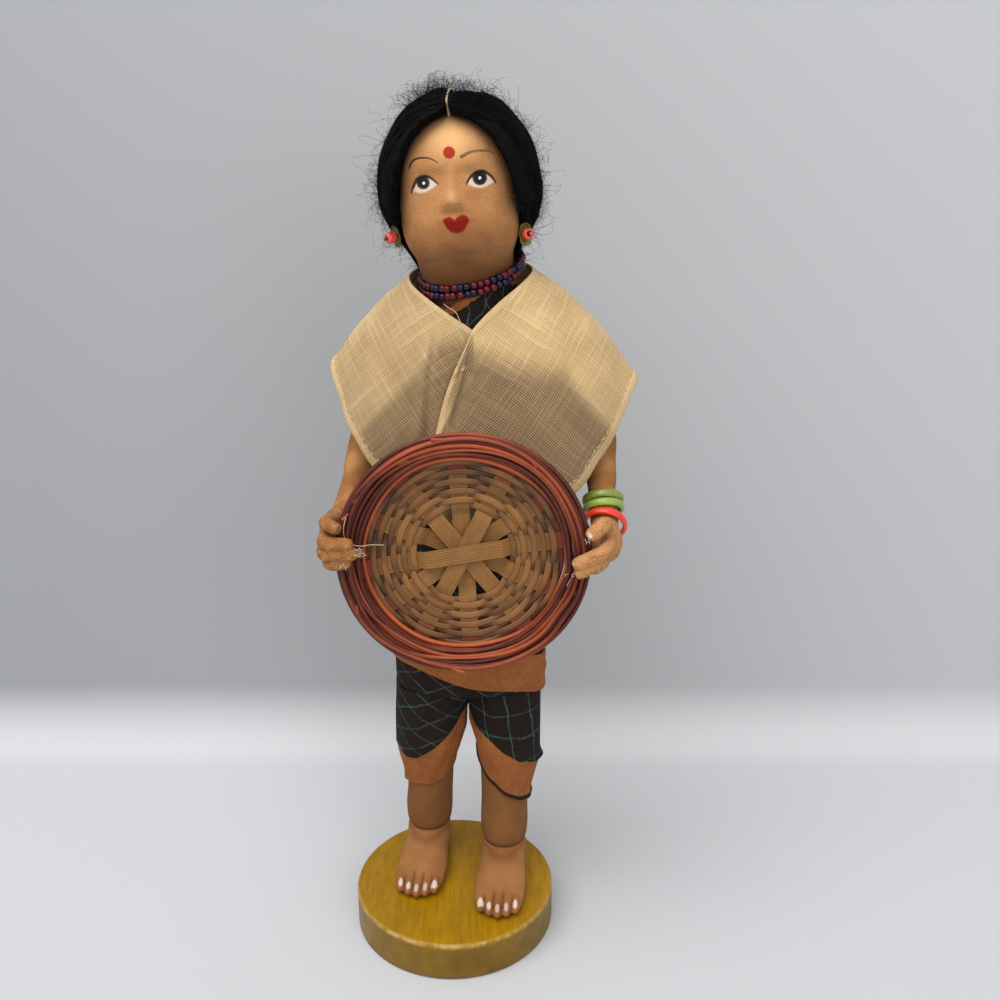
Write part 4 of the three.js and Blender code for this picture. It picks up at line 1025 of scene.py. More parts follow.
def thinned(points, faces):
    """The hair brought down to the skin along its front edge, where it would end in a wall."""
    found = [head_skin.find_nearest(point) for point in points.tolist()]
    feet, ups = (np.array([hit[k][:] for hit in found]) for k in (0, 1))
    ways = np.zeros_like(points)
    for face in faces:
        a, b, c = (points[face[:, k]] for k in (0, 1, 2))
        for k in range(face.shape[1]):
            np.add.at(ways, face[:, k], np.cross(b - a, c - a))
    level = np.abs(np.einsum("ij,ij->i", ways, ups)) / np.maximum(np.linalg.norm(ways, axis=1), 1e-9)
    off = np.linalg.norm(points - feet, axis=1)
    off[np.einsum("ij,ij->i", points - feet, feet - head_centre) < 0] *= -1
    local = in_head(points)
    rim = (level < 0.55) & (np.abs(off) < 1.6) & (local[:, 1] < 8) & (local[:, 2] > -20)
    rim &= (np.abs(local[:, 0]) > 2.5) | (local[:, 1] < -14)
    edge = KDTree(int(rim.sum()))
    for index, point in enumerate(feet[rim].tolist()):
        edge.insert(point, index)
    edge.balance()
    from_edge = np.array([edge.find(foot)[2] for foot in feet.tolist()])
    share = np.clip(0.22 + from_edge / 6.5, 0, 1)
    raised_off = off > 0.3
    points[raised_off] = (feet + (points - feet) * share[:, None])[raised_off]
    return points


def lumpy(points, size, gap=2.0):
    """Soft lumps of noise, read at points."""
    return np.array([noise.fractal((x * size, y * size, z * size), 0.8, gap, 3) for x, y, z in points])


def hair_base(node):
    points, faces = settled(node, [copied(node)], 0.8, 9)
    local = in_head(points) - hair_middle
    reach = np.linalg.norm(local / hair_radii, axis=1)
    outside = smooth_step(reach, 0.86, 0.95)
    local *= (1 + outside * (0.992 / np.maximum(reach, 0.1) - 1))[:, None]
    lumps = lumpy(local, 0.16)
    local *= (1 + 0.02 * lumps * outside)[:, None]
    return thinned(on_head(local + hair_middle), faces), faces


def laid_on(tree, path, lifts):
    """A path drawn onto a surface, each point a little off it."""
    laid = []
    for point, lift in zip(path, lifts):
        spot, normal, _, _ = tree.find_nearest(point.tolist())
        laid.append(np.array(spot) + np.array(normal) * lift)
    laid = np.array(laid)
    for _ in range(2):
        laid[1:-1] = (laid[:-2] + 2 * laid[1:-1] + laid[2:]) / 4
    return laid


draw = np.random.default_rng(11)
hair_skins = {}
for name, side in (("right", -1), ("left", 1)):
    points, faces = hair_base(f"hair_{name}")
    hair_skins[side] = surface_of(points, faces)
    base = build(f"hair_{name}_mass", points, faces, mohair)
    paint_points(base, np.zeros((len(points), 4)))
    fit(base, "figure", "mohair", f"hair_{name}")

    paths, tints = [], []
    while len(paths) < 1500:
        from_y = draw.uniform(-0.84, 0.93)
        low = draw.uniform(-1.15, -0.35) if draw.random() < 0.75 else draw.uniform(-0.2, 0.9)
        high = math.radians(draw.choice([88.0, 88.0, draw.uniform(20, 85)]))
        if low > high - 0.3:
            continue
        angles = np.linspace(high, low, 18)
        fall = (math.radians(88) - angles) / 2.7
        y = from_y + (0.86 - from_y) * fall**1.7 * 0.62
        y = y + 0.02 * np.sin(angles * draw.uniform(1, 5) + draw.uniform(0, 6))
        ring = np.sqrt(np.clip(1 - y**2, 0.01, 1))
        local = np.stack([side * np.cos(angles) * ring, y, np.sin(angles) * ring], -1) * hair_radii + hair_middle
        local[:, 0] = side * np.maximum(side * local[:, 0], 0.6)
        wander = draw.normal(0, 0.22, 3)
        lifts = draw.uniform(-0.05, 0.4) + 0.16 * np.sin(np.linspace(0, draw.uniform(3, 12), 18) + draw.uniform(0, 6))
        lifts[0] = -0.1
        paths.append(laid_on(hair_skins[side], on_head(local + wander), lifts))
        tints.append(draw.beta(2, 3.2))
    taper = np.sin(np.linspace(0.25, math.pi - 0.12, 18)) ** 0.4
    widths = [taper * draw.uniform(0.07, 0.16) for _ in paths]
    combed = strands(f"hair_{name}_strands", paths, widths, mohair, tints)
    fit(combed, "figure", "mohair")

bun_middle = np.array([1.5, 27.7, -4])
bun_radii = np.array([9.5, 6.5, 8.55])
local, faces = ball((0, 0, 0), (1, 1, 1), 48, 30)
lumps = lumpy(local, 1.4)
local = local * (0.98 + 0.03 * lumps)[:, None]
bun = build("hair_bun_mass", on_head(local * bun_radii + bun_middle), faces, mohair)
fit(bun, "figure", "mohair", "hair_bun")
paths, tints = [], []
for _ in range(420):
    lean, spin = draw.uniform(0.15, 1.45), draw.uniform(0, 2 * math.pi)
    angles = np.linspace(0, draw.uniform(1.6, 4.2), 16)
    ring = np.stack([np.cos(angles + spin) * math.sin(lean), 0 * angles + math.cos(lean),
                     np.sin(angles + spin) * math.sin(lean)], -1)
    sway = rotation(*draw.normal(0, 9, 3))
    paths.append(on_head(ring @ sway.T * (bun_radii + draw.uniform(0.0, 0.35)) + bun_middle))
    tints.append(draw.beta(2, 3.2))
taper = np.sin(np.linspace(0.2, math.pi - 0.2, 16)) ** 0.4
fit(strands("hair_bun_strands", paths, [taper * draw.uniform(0.07, 0.15) for _ in paths], mohair, tints), "figure",
    "mohair")

paths, tints = [], []
while len(paths) < 2000:
    way = draw.normal(0, 1, 3)
    way /= np.linalg.norm(way)
    crown = len(paths) < 430
    if crown:
        way = np.array([draw.normal(-0.22, 0.3), draw.normal(-0.05, 0.45), 1.0])
        way /= np.linalg.norm(way)
    if way[1] < -0.62 or (way[1] < -0.1 and abs(way[0]) < 0.62 and way[2] < 0.75) or way[2] < -0.86:
        continue
    if way[1] < 0.35 and way[2] < -0.5 and not abs(way[0]) > 0.45:
        continue
    side = 1 if way[0] > 0 else -1
    spot, normal, _, _ = hair_skins[side].find_nearest(on_head(way * hair_radii * 1.02 + hair_middle).tolist())
    spot, normal = np.array(spot), np.array(normal)
    along = np.cross(normal, draw.normal(0, 1, 3))
    along /= np.linalg.norm(along)
    across = np.cross(normal, along)
    t = np.linspace(0, 1, 16)
    length = draw.uniform(2, 9) if crown else draw.uniform(2.5, 13)
    height = draw.uniform(0.6, 5.0) if crown else min(draw.gamma(1.5, 1.25), 7.5)
    curl, turn, start = draw.uniform(0.15, 1.0), draw.uniform(4, 13), draw.uniform(0, 6)
    path = spot + np.outer(length * (t - 0.2 * t**2), along)
    path = path + np.outer(height * np.sin(t * draw.uniform(1.6, 3.1)), normal)
    swing, rise = curl * np.sin(turn * t + start) * t**0.5, curl * np.cos(turn * t + start) * t**0.5
    path += np.outer(swing, across) + np.outer(rise, normal)
    local = in_head(path) - hair_middle
    if (np.linalg.norm(local / hair_radii, axis=1)[5:] < 0.9).any():
        continue
    ahead = local[:, 1] < -3
    if (ahead & (np.abs(local[:, 0]) < 17.5) & (local[:, 2] < 17)).any() or path[:, 2].max() > 277.5:
        continue
    paths.append(path)
    tints.append(draw.uniform(0.35, 0.95))
loose = strands("hair_loose_fibres", paths, [np.linspace(1.0, 0.55, 16) * draw.uniform(0.028, 0.048) for _ in paths],
                mohair, tints)
fit(loose, "figure", "mohair")

cream_thread = finish("cream_thread", (222, 196, 160), 0.85, Specular_IOR_Level=0.3)
ply = add(cream_thread, "TexWave", Vector=on_piece(cream_thread), Scale=1.6, Distortion=0.5,
          bands_direction="DIAGONAL").outputs[1]
wire(cream_thread, Base_Color=mixed(cream_thread, ply, (196, 166, 130), (230, 206, 172)))
raised(cream_thread, ply, 0.08)
rise = np.radians(np.linspace(131, 20, 60))
local = np.stack([0 * rise, 0.985 * hair_radii[1] * -np.cos(math.pi - rise), 0.985 * hair_radii[2] * np.sin(rise)], -1)
parting = on_head(local + hair_middle + np.array([0, 0, -0.25]))
parting[:, 0] += 0.12 * np.sin(np.linspace(0, 14, 60))
root = np.array(head_skin.find_nearest(parting[0].tolist())[0])
parting = np.concatenate([root + np.outer([0.02, 0.35, 0.7], parting[0] - root) + [0, -0.25, 0.1], parting])
fit(strands("parting_thread", [parting], 0.31, cream_thread, sides=8), "figure", "mohair")


# Short fuzz, which softens the outline and every highlight of the mass
paths, tints = [], []
while len(paths) < 2200:
    way = draw.normal(0, 1, 3)
    way /= np.linalg.norm(way)
    side = 1 if way[0] > 0 else -1
    spot, normal, _, _ = hair_skins[side].find_nearest(on_head(way * hair_radii * 1.02 + hair_middle).tolist())
    spot, normal = np.array(spot), np.array(normal)
    local = in_head(spot) - hair_middle
    if np.linalg.norm(local / hair_radii) < 0.8 or abs(local[0]) < 0.5:
        continue
    along = np.cross(normal, draw.normal(0, 1, 3))
    along /= np.linalg.norm(along)
    t = np.linspace(0, 1, 8)
    length, height = draw.uniform(1.2, 4.5), draw.uniform(0.25, 1.1)
    path = spot + np.outer(length * t, along) + np.outer(height * np.sin(t * draw.uniform(2.0, 3.0)) - 0.05, normal)
    paths.append(path + np.outer(draw.uniform(0.1, 0.4) * np.sin(draw.uniform(3, 8) * t), np.cross(normal, along)))
    tints.append(draw.uniform(0.2, 0.9))
fuzz = strands("hair_fuzz", paths, [np.linspace(1.0, 0.5, 8) * draw.uniform(0.03, 0.05) for _ in paths], mohair, tints)
fit(fuzz, "figure", "mohair")


# The earrings
# A steel pin in each cheek carries a leaf-shaped olive sequin and a coral glass bead, and
# both turn on it.

ears = {"right": ((-15.9, 5.2, 229.2), (-0.8, -0.56, -0.2)), "left": ((23.6, 1.5, 230.6), (0.34, -0.93, 0.12))}
coral = finish("coral_glass", (232, 74, 60), 0.16, Coat_Weight=0.5, Coat_Roughness=0.06, Subsurface_Weight=0.12,
               Subsurface_Scale=0.001)
swirl = cloudy(coral, on_piece(coral), 1.1, 2)
wire(coral, Base_Color=mixed(coral, swirl, (216, 56, 46), (244, 104, 88)),
     Roughness=range_of(coral, swirl, 0.3, 0.7, 0.12, 0.24))
olive = finish("olive_sequin", (120, 110, 16), 0.2, Transmission_Weight=0.3, Coat_Weight=0.4, Coat_Roughness=0.1,
               IOR=1.4)
film = cloudy(olive, on_piece(olive), 0.8, 3)
wire(olive, Base_Color=mixed(olive, film, (88, 80, 8), (146, 132, 24)),
     Roughness=range_of(olive, film, 0.3, 0.7, 0.14, 0.3))


def along_axis(points, axis, spot):
    """Points made round Z, turned to look along an axis and moved to a spot."""
    axis = np.asarray(axis, float) / np.linalg.norm(axis)
    first = np.cross([0, 0, 1.0], axis)
    first /= np.linalg.norm(first)
    return points @ np.stack([first, np.cross(axis, first), axis]) + np.asarray(spot, float)


def ring_body(sections):
    """A closed body from sections that follow one another round a ring."""
    sections = np.asarray(sections, float)
    faces, _ = grid(*sections.shape[:2], wrap_rows=True)
    return sections.reshape(-1, 3), [faces]


for name, (spot, axis) in ears.items():
    sections = []
    for a in np.linspace(0, 2 * math.pi, 28, endpoint=False):
        out = np.array([math.cos(a), math.sin(a), 0])
        bend = np.linspace(0, 2 * math.pi, 14, endpoint=False)
        sections.append(np.outer(1.14 + 0.56 * np.cos(bend), out) + np.outer(1.45 * np.sin(bend), [0, 0, 1.0]))
    points, faces = ring_body(sections)
    fit(build(f"bead_{name}", along_axis(points, axis, spot), faces, coral), f"earring_{name}", "coral_bead",
        f"ear_bead_{name}")
    sections = []
    for a in np.linspace(0, 2 * math.pi, 72, endpoint=False):
        out = np.array([math.cos(a), math.sin(a), 0])
        reach = 2.0 + 1.3 * abs(math.sin(a)) ** 3 + 0.08 * math.cos(6 * a)
        radii = np.linspace(0.56, reach, 8)
        cup = 0.42 * (radii / 3.3) ** 2
        upper = np.outer(radii, out) + np.outer(-2.0 + cup, [0, 0, 1.0])
        lower = np.outer(radii[::-1], out) + np.outer(-2.2 + cup[::-1], [0, 0, 1.0])
        sections.append(np.concatenate([upper, lower]))
    points, faces = ring_body(sections)
    fit(build(f"sequin_{name}", along_axis(points, axis, spot), faces, olive), f"earring_{name}", "sequin",
        f"ear_sequin_{name}")


# The necklace
# Two strings of glass seed beads, dark red and navy by turns, tied close round the neck over
# the collar of the clothes.

bead_tree = node_tree("seed_beads", [("Segments", "Int", 12), ("Material", "Material", None)])
start = bead_tree.nodes.new("NodeGroupInput").outputs
round_hole = step_of(bead_tree, "GeometryNodeCurvePrimitiveCircle", mode="RADIUS", Resolution=start["Segments"],
                     Radius=0.66)
wall = step_of(bead_tree, "GeometryNodeCurvePrimitiveCircle", mode="RADIUS", Resolution=8, Radius=0.42)
stretch = step_of(bead_tree, "GeometryNodeTransform", Geometry=wall, Scale=(1.0, 1.95, 1.0))
one_bead = step_of(bead_tree, "GeometryNodeCurveToMesh", Curve=round_hole, Profile_Curve=stretch)
way = step_of(bead_tree, "GeometryNodeInputNamedAttribute", data_type="FLOAT_VECTOR", Name="way")
size = step_of(bead_tree, "GeometryNodeInputNamedAttribute", data_type="FLOAT", Name="size")
turn = step_of(bead_tree, "FunctionNodeAlignRotationToVector", axis="Z", Vector=way)
strung = step_of(bead_tree, "GeometryNodeInstanceOnPoints", Points=start["Geometry"], Instance=one_bead, Rotation=turn,
                 Scale=size)
end_tree(bead_tree, strung, start)

seed_glass = finish("seed_glass", (120, 20, 40), 0.2, Coat_Weight=0.15, Coat_Roughness=0.08, Specular_IOR_Level=0.3)
tint = attribute(seed_glass, "tint")
milky = cloudy(seed_glass, on_piece(seed_glass), 0.9, 2)
red = mixed(seed_glass, milky, (54, 3, 12), (102, 11, 24))
navy = mixed(seed_glass, milky, (4, 4, 22), (13, 15, 54))
wire(seed_glass, Base_Color=mixed(seed_glass, range_of(seed_glass, tint, 0.45, 0.55), red, navy))
linen_thread = finish("bead_thread", (60, 40, 44), 0.9)
wire(linen_thread,
     Roughness=range_of(linen_thread, cloudy(linen_thread, on_piece(linen_thread), 3.0), 0.3, 0.7, 0.8, 0.95))

bead_diameter = 2.35
beads_round = 50
necklace_runs = [
    [2, 1, 2, 2, 3, 2, 3, 2, 2, 3, 3, 2, 3, 3, 3, 2, 3, 3, 3, 3, 4, 3, 3],
    [1, 2, 3, 2, 3, 2, 3, 3, 2, 3, 3, 2, 3, 3, 3, 3, 3, 3, 3, 3, 3, 3, 3],
]


def necklace_point(angles, lift):
    out = neck_half + 0.6 + bead_diameter / 2
    x, y = np.cos(angles) * out[0], np.sin(angles) * out[1]
    z = 205.5 + disc_height + x * 0.2 + y * 0.26 + lift
    return np.stack([neck_centre[0] + x, neck_centre[1] + y, z], -1)


for row, (name, lift) in enumerate([("upper", 1.1), ("lower", -1.1)]):
    runs = np.concatenate([[k % 2] * run for k, run in enumerate(necklace_runs[row])])[:beads_round]
    angles = math.radians(188) + whole_turn(beads_round)
    spread = draw.normal(0, 0.006, beads_round)
    centres = necklace_point(angles + spread, lift) + draw.normal(0, 0.07, (beads_round, 3))
    ways = necklace_point(angles + 0.05, lift) - necklace_point(angles - 0.05, lift)
    ways = ways + draw.normal(0, 0.09, (beads_round, 3))
    mesh = bpy.data.meshes.new("beads")
    mesh.from_pydata((centres * mm).tolist(), [], [])
    mesh.attributes.new("way", "FLOAT_VECTOR", "POINT").data.foreach_set("vector", ways.ravel())
    sizes = (bead_diameter / 2 / 1.04 + draw.normal(0, 0.03, beads_round)) * mm
    mesh.attributes.new("size", "FLOAT", "POINT").data.foreach_set("value", sizes)
    mesh.attributes.new("tint", "FLOAT", "POINT").data.foreach_set("value", runs.astype(np.float32))
    beads = grown(f"beads_{name}", mesh, bead_tree, Segments=14, Material=seed_glass)
    fit(beads, "figure", "seed_beads", f"necklace_{name}")
    string = necklace_point(whole_turn(90), lift)
    fit(strands(f"necklace_thread_{name}", [string], 0.3, linen_thread, sides=6, closed=True), "figure", "seed_beads")


# The arms and hands
# Stockinette sleeves stuffed round the wire. Each hand is a puckered mitt whose fingers are
# stitched round the basket's rim, with white dots for nails and frayed ends of thread.

basket_radius = 37.3
basket_hub = np.array([5, -17, 127.2 + disc_height])
basket_turn = rotation(87, 0, 0)
right_grip, left_grip = 5 - basket_radius, 5 + basket_radius


def in_basket(local):
    """Points of the tray's own frame, its open side along Z, put where it is held."""
    return local @ basket_turn.T + basket_hub


def dish_at(radius):
    return 4 * (np.abs(radius) / basket_radius) ** 3


arms = {
    "right": {
        "side": -1, "grip": right_grip,
        "points": [(-9, 13.5, 187), (-23.8, 19, 161), (right_grip + 1.1, -1.5, 135.5)],
        "palm": ((right_grip - 0.9, -11.5, 131.4), (5, 9.4, 6.2)),
        "fingers": [
            (2.0, [(-0.7, -12, 136), (-2.3, -21.5, 138), (2.3, -25.2, 137.2)]),
            (2.2, [(-2.2, -16, 133), (-2.1, -24.8, 133), (5.9, -25.8, 132.8)]),
            (2.2, [(-2.2, -15, 130.5), (-2.3, -24.4, 129.6), (7.3, -25.7, 130.2)]),
            (2.1, [(-1.7, -14, 128.5), (-1.3, -23.4, 126.4), (4.9, -25.3, 127.6)]),
        ],
    },
    "left": {
        "side": 1, "grip": left_grip,
        "points": [(27, 13.5, 187), (46.2, 19, 158), (left_grip + 5.4, -3.5, 130.8)],
        "palm": ((left_grip + 4.7, -12.5, 129.4), (5, 8.6, 6)),
        "fingers": [
            (2.3, [(4.2, -13, 133.5), (3.3, -21.5, 137.4), (-1.5, -25.2, 134.8)]),
            (2.3, [(5.2, -17, 131.4), (3.1, -24.8, 130.4), (-5.7, -25.6, 126.2)]),
            (2.1, [(4.2, -16, 129.4), (2.3, -24, 127.2), (-4.9, -25.4, 123.4)]),
            (2.0, [(3.2, -14, 128), (3.3, -22, 126.4), (-0.5, -25.2, 124.8)]),
        ],
    },
}


def run_along(path):
    """How far along a path each of its points lies."""
    return np.concatenate([[0], np.cumsum(np.linalg.norm(np.diff(path, axis=0), axis=1))])


def arm_path(arm, count):
    """Points evenly spaced from the shoulder by the bent elbow to the wrist."""
    shoulder, elbow, wrist = (np.array(point, float) for point in arm["points"])
    above, below = elbow + (shoulder - elbow) * 0.22, elbow + (wrist - elbow) * 0.22
    t = np.linspace(0, 1, 30)[:, None]
    bend = (1 - t) ** 2 * above + 2 * t * (1 - t) * elbow + t**2 * below
    whole = np.vstack([shoulder + (above - shoulder) * t, bend[1:], below + (wrist - below) * t[1:]])
    run = run_along(whole)
    at = np.linspace(0, run[-1], count)
    return np.column_stack([np.interp(at, run, whole[:, k]) for k in range(3)]), run[-1]


def sleeve_radius(share, length):
    left, half = (1 - share) * length - 9, length / 2
    forearm = 8.4 + (12.4 - 8.4) * np.clip(left / (half - 9), 0, 1)
    return (forearm + (14.5 - forearm) * np.clip((left + 9 - half) / half, 0, 1)) / 2


def raise_up(points):
    return np.asarray(points, float) + np.array([0, 0, disc_height])


low, high = dish_at(14.4) - 2.0, 4 + 0.225 + 0.3 + 1.45 + 1.0
rim_room = []
for a in np.linspace(0, 2 * math.pi, 96, endpoint=False):
    corners = [(14.4, low), (basket_radius + 0.3, low), (basket_radius + 0.3, high), (14.4, high)]
    rim_room.append([(r * math.cos(a), r * math.sin(a), z) for r, z in corners])
rim_points, rim_faces = ring_body(rim_room)

nails = {"left": [((-1.7, -27.0, 135.6), 1.15), ((-6.5, -27.4, 126.9), 0.95), ((-5.4, -27.2, 123.2), 1.0),
                  ((3.6, -26.6, 126.4), 0.8)],
         "right": [((4.5, -26.9, 137.0), 0.7)]}
for name, arm in arms.items():
    path, length = arm_path(arm, 96)
    path[:, 2] += disc_height
    share = np.linspace(0, 1, 96)
    radii = sleeve_radius(share, length)
    sideways, upward = frames_along(path)
    rings = []
    for i in range(96):
        ring = []
        for s in range(44):
            angle = s / 44 * 2 * math.pi
            out = math.cos(angle) * sideways[i] + math.sin(angle) * upward[i]
            spot = path[i] * 0.16 + out * 0.5 + arm["side"] * 3
            lump = 0.42 * noise.noise(spot.tolist()) + 0.12 * noise.noise((path[i] * 0.55 + out * 1.5).tolist())
            crease = -0.55 * math.exp(-((share[i] - 0.83) / 0.012) ** 2) * max(math.cos(angle + 0.8), 0)
            crease -= 0.5 * math.exp(-((share[i] - 0.9) / 0.01) ** 2) * max(math.cos(angle - 1.4), 0)
            ring.append(path[i] + out * (radii[i] + (lump + crease) * smooth_step(1 - share[i], 0.0, 0.04)))
        rings.append(ring)
    rings = np.array(rings)
    rings[-1] = path[-1] + (rings[-1] - path[-1]) * 0.92
    points, faces = capped(rings)
    sleeve = build(f"arm_{name}_cloth", points, faces, skin)
    paint = Paint(len(points))
    blotch = np.array([noise.noise((point * 0.14 + 9).tolist()) for point in points])
    paint.touch(0.4 * smooth_step(blotch, 0.05, 0.5), (206, 154, 104))
    paint.touch(0.25 * smooth_step(-blotch, 0.1, 0.5), (110, 72, 46))
    paint.lay(sleeve)
    fit(sleeve, "figure", "skin_cotton", f"arm_{name}")

    wrist, elbow = (np.array(arm["points"][k], float) for k in (2, 1))
    centre, palm_radii = (np.array(values, float) for values in arm["palm"])
    drop = math.atan2(wrist[2] - centre[2], wrist[1] - centre[1])
    down = (wrist - elbow) / np.linalg.norm(wrist - elbow)
    parts = [ball(raise_up(centre), palm_radii, 40, 28, rotation(math.degrees(drop), 0, 0))]
    stub = raise_up([wrist - down * 0.4, (wrist + centre) / 2, centre])
    parts.append(tube(stub, [4.15, 4.3, 4.6], 32))
    for radius, finger in arm["fingers"]:
        bent = smooth_path([(arm["grip"] + x, y, z) for x, y, z in finger], 14)
        thick = radius * (1.05 - 0.12 * np.linspace(0, 1, 14))
        thick[-1] *= 0.62
        thick[-2] *= 0.92
        parts.append(tube(raise_up(bent), thick, 18))
    points, faces = settled(f"hand_{name}", parts, 0.36, 4, [(in_basket(rim_points), rim_faces)])
    puckers = lumpy(points, 0.55, 2.1)
    middle = raise_up(centre)
    away = points - middle
    away /= np.maximum(np.linalg.norm(away, axis=1), 1e-6)[:, None]
    ridges = np.abs(np.array([noise.noise((x * 0.42 + 4, y * 0.42, z * 0.9)) for x, y, z in points]))
    furrow = bell(ridges, 0.05)
    points = points + away * (0.16 * puckers - 0.34 * furrow)[:, None]
    hand = build(f"hand_{name}_cloth", points, faces, skin)
    paint = Paint(len(points))
    # The left hand is painted lighter all over: painted light.
    if name == "left":
        paint.touch(0.5 + 0 * furrow, (206, 152, 102))
    # Painted shade darkens the furrows of the puckered cloth, and painted highlight lightens its raised puckers.
    paint.touch(0.45 * furrow, (98, 56, 40))
    paint.touch(0.3 * smooth_step(puckers, 0.1, 0.6), (204, 152, 112))
    for spot, radius in nails[name]:
        spot = np.array(spot) + np.array([arm["grip"], 0, disc_height])
        far = np.linalg.norm((points - spot) * [1, 0.55, 1], axis=1) + 0.35 * puckers
        paint.touch(0.95 * smooth_step(-far, -radius - 0.15, -radius + 0.35), (236, 228, 214))
    paint.lay(hand)
    fit(hand, "figure", "skin_cotton", f"hand_{name}")

frays = []
for spot, count, reach, way in [
    ((right_grip + 7.6, -27.2, 131.0), 16, 2.6, (0.75, -0.3, 0.2)),
    ((right_grip + 3.0, -27.3, 127.0), 6, 1.5, (0.4, -0.6, -0.5)),
    ((left_grip - 1.7, -27.5, 134.9), 4, 0.9, (0, -1, -0.3)),
    ((left_grip - 5.8, -27.5, 125.0), 5, 0.9, (-0.4, -0.9, 0)),
]:
    for _ in range(count):
        start = raise_up(spot) + draw.normal(0, 0.6, 3) * [1, 0.2, 1]
        aim = np.array(way) + draw.normal(0, 0.4, 3)
        t = np.linspace(0, 1, 9)[:, None]
        curl = draw.normal(0, 0.3, 3)
        frays.append(start + aim * reach * t * draw.uniform(0.35, 1) + curl * np.sin(t * 3)
                     + draw.normal(0, 0.12, (9, 3)) * t)
fit(strands("hand_frayed_ends", frays, 0.085, cream_thread, sides=4), "figure", "skin_cotton")


# The bangles
# Three moulded glass rings on the left wrist: two green ones that hang level, and a red one
# that has slipped onto the heel of the hand.

glasses = {}
for name, colour, other in [
    ("green", (150, 174, 72), (132, 152, 56)), ("leaf", (136, 152, 62), (116, 130, 48)),
    ("red", (236, 66, 42), (214, 50, 32)),
]:
    glass = finish(f"{name}_bangle_glass", colour, 0.3, Coat_Weight=0.25, Coat_Roughness=0.12,
                   Subsurface_Weight=0.15, Subsurface_Scale=0.001)
    haze = cloudy(glass, on_piece(glass), 0.5, 4, 0.65)
    wire(glass, Base_Color=mixed(glass, range_of(glass, haze, 0.35, 0.7), colour, other),
         Roughness=range_of(glass, haze, 0.3, 0.7, 0.24, 0.42))
    raised(glass, cloudy(glass, on_piece(glass), 2.4, 3), 0.04)
    glasses[name] = glass

elbow, wrist = (np.array(arms["left"]["points"][k], float) for k in (1, 2))
forearm = (elbow - wrist) / np.linalg.norm(elbow - wrist)
red_spread = math.sin(math.radians(20)) * (10.8 / 2 + 1.5)
red_at = 0.6
lower_at = red_at + 2.5 + red_spread + 0.3


def from_upright(way):
    """The least turn that carries the upright to a direction."""
    axis = np.cross([0, 0, 1.0], way)
    sine, cosine = np.linalg.norm(axis), way[2]
    x, y, z = axis / sine
    skew = np.array([[0, -z, y], [z, 0, -x], [-y, x, 0]])
    return np.eye(3) + sine * skew + (1 - cosine) * skew @ skew


for name, glass, bore, along, tilt in [
    ("red", "red", 10.8, red_at, True), ("green_lower", "green", 9.9, lower_at, False),
    ("green_upper", "leaf", 9.9, lower_at + 2.8, False),
]:
    sections = []
    for a in np.linspace(0, 2 * math.pi, 120, endpoint=False):
        out = np.array([math.cos(a), math.sin(a), 0])
        bend = np.linspace(0, 2 * math.pi, 24, endpoint=False)
        section = np.sign(np.cos(bend)) * np.abs(np.cos(bend)) ** 0.85
        sections.append(np.outer((bore + 1.5) / 2 + 0.75 * section, out) + np.outer(1.25 * np.sin(bend), [0, 0, 1.0]))
    points, faces = ring_body(sections)
    turn = from_upright(forearm)
    if tilt:
        turn = turn @ rotation(-20, 0, 0) @ rotation(0, 12, 0)
    points = points @ turn.T + raise_up(wrist + forearm * along)
    slot = "red_bangle" if tilt else "green_bangle"
    fit(build(f"{name}_glass_bangle", points, faces, glasses[glass]), f"bangle_{name}", slot, f"bangle_{name}")


# The basket
# A small winnowing tray. Six ribbed bamboo splints cross at the hub, split cane is twined
# round their twelve arms in pairs, and red-dyed canes are wound on as the rim.

splint_angles = [9, 63, 129, 35, 94, 158]
splint_finish = finish("bamboo_splint", (172, 124, 74), 0.62, Specular_IOR_Level=0.35)
along = on_piece(splint_finish, coordinates="UV")
fibre = add(splint_finish, "TexNoise",
            Vector=add(splint_finish, "Mapping", Vector=along, Scale=(0.08, 4.0, 1)).outputs[0],
            Scale=1.0, Detail=4, Roughness=0.6).outputs[0]
place_on = add(splint_finish, "SeparateXYZ", Vector=along)
reach = calc(splint_finish, "ABSOLUTE", place_on.outputs[0])
dyed = range_of(splint_finish, calc(splint_finish, "ADD", reach, times(splint_finish, fibre, 4.0)), 26.0, 28.0)
grime = range_of(splint_finish, cloudy(splint_finish, on_piece(splint_finish), 0.16, 3), 0.4, 0.7)
wood = mixed(splint_finish, range_of(splint_finish, fibre, 0.3, 0.72), (116, 78, 34), (158, 112, 58))
wood = mixed(splint_finish, range_of(splint_finish, grime, 0, 1, 0, 0.4), wood, (104, 66, 32))
dye = mixed(splint_finish, fibre, (84, 28, 18), (132, 50, 34))
wire(splint_finish, Base_Color=mixed(splint_finish, dyed, wood, dye),
     Roughness=range_of(splint_finish, fibre, 0.3, 0.7, 0.5, 0.72))
raised(splint_finish, fibre, 0.12, 0.8)

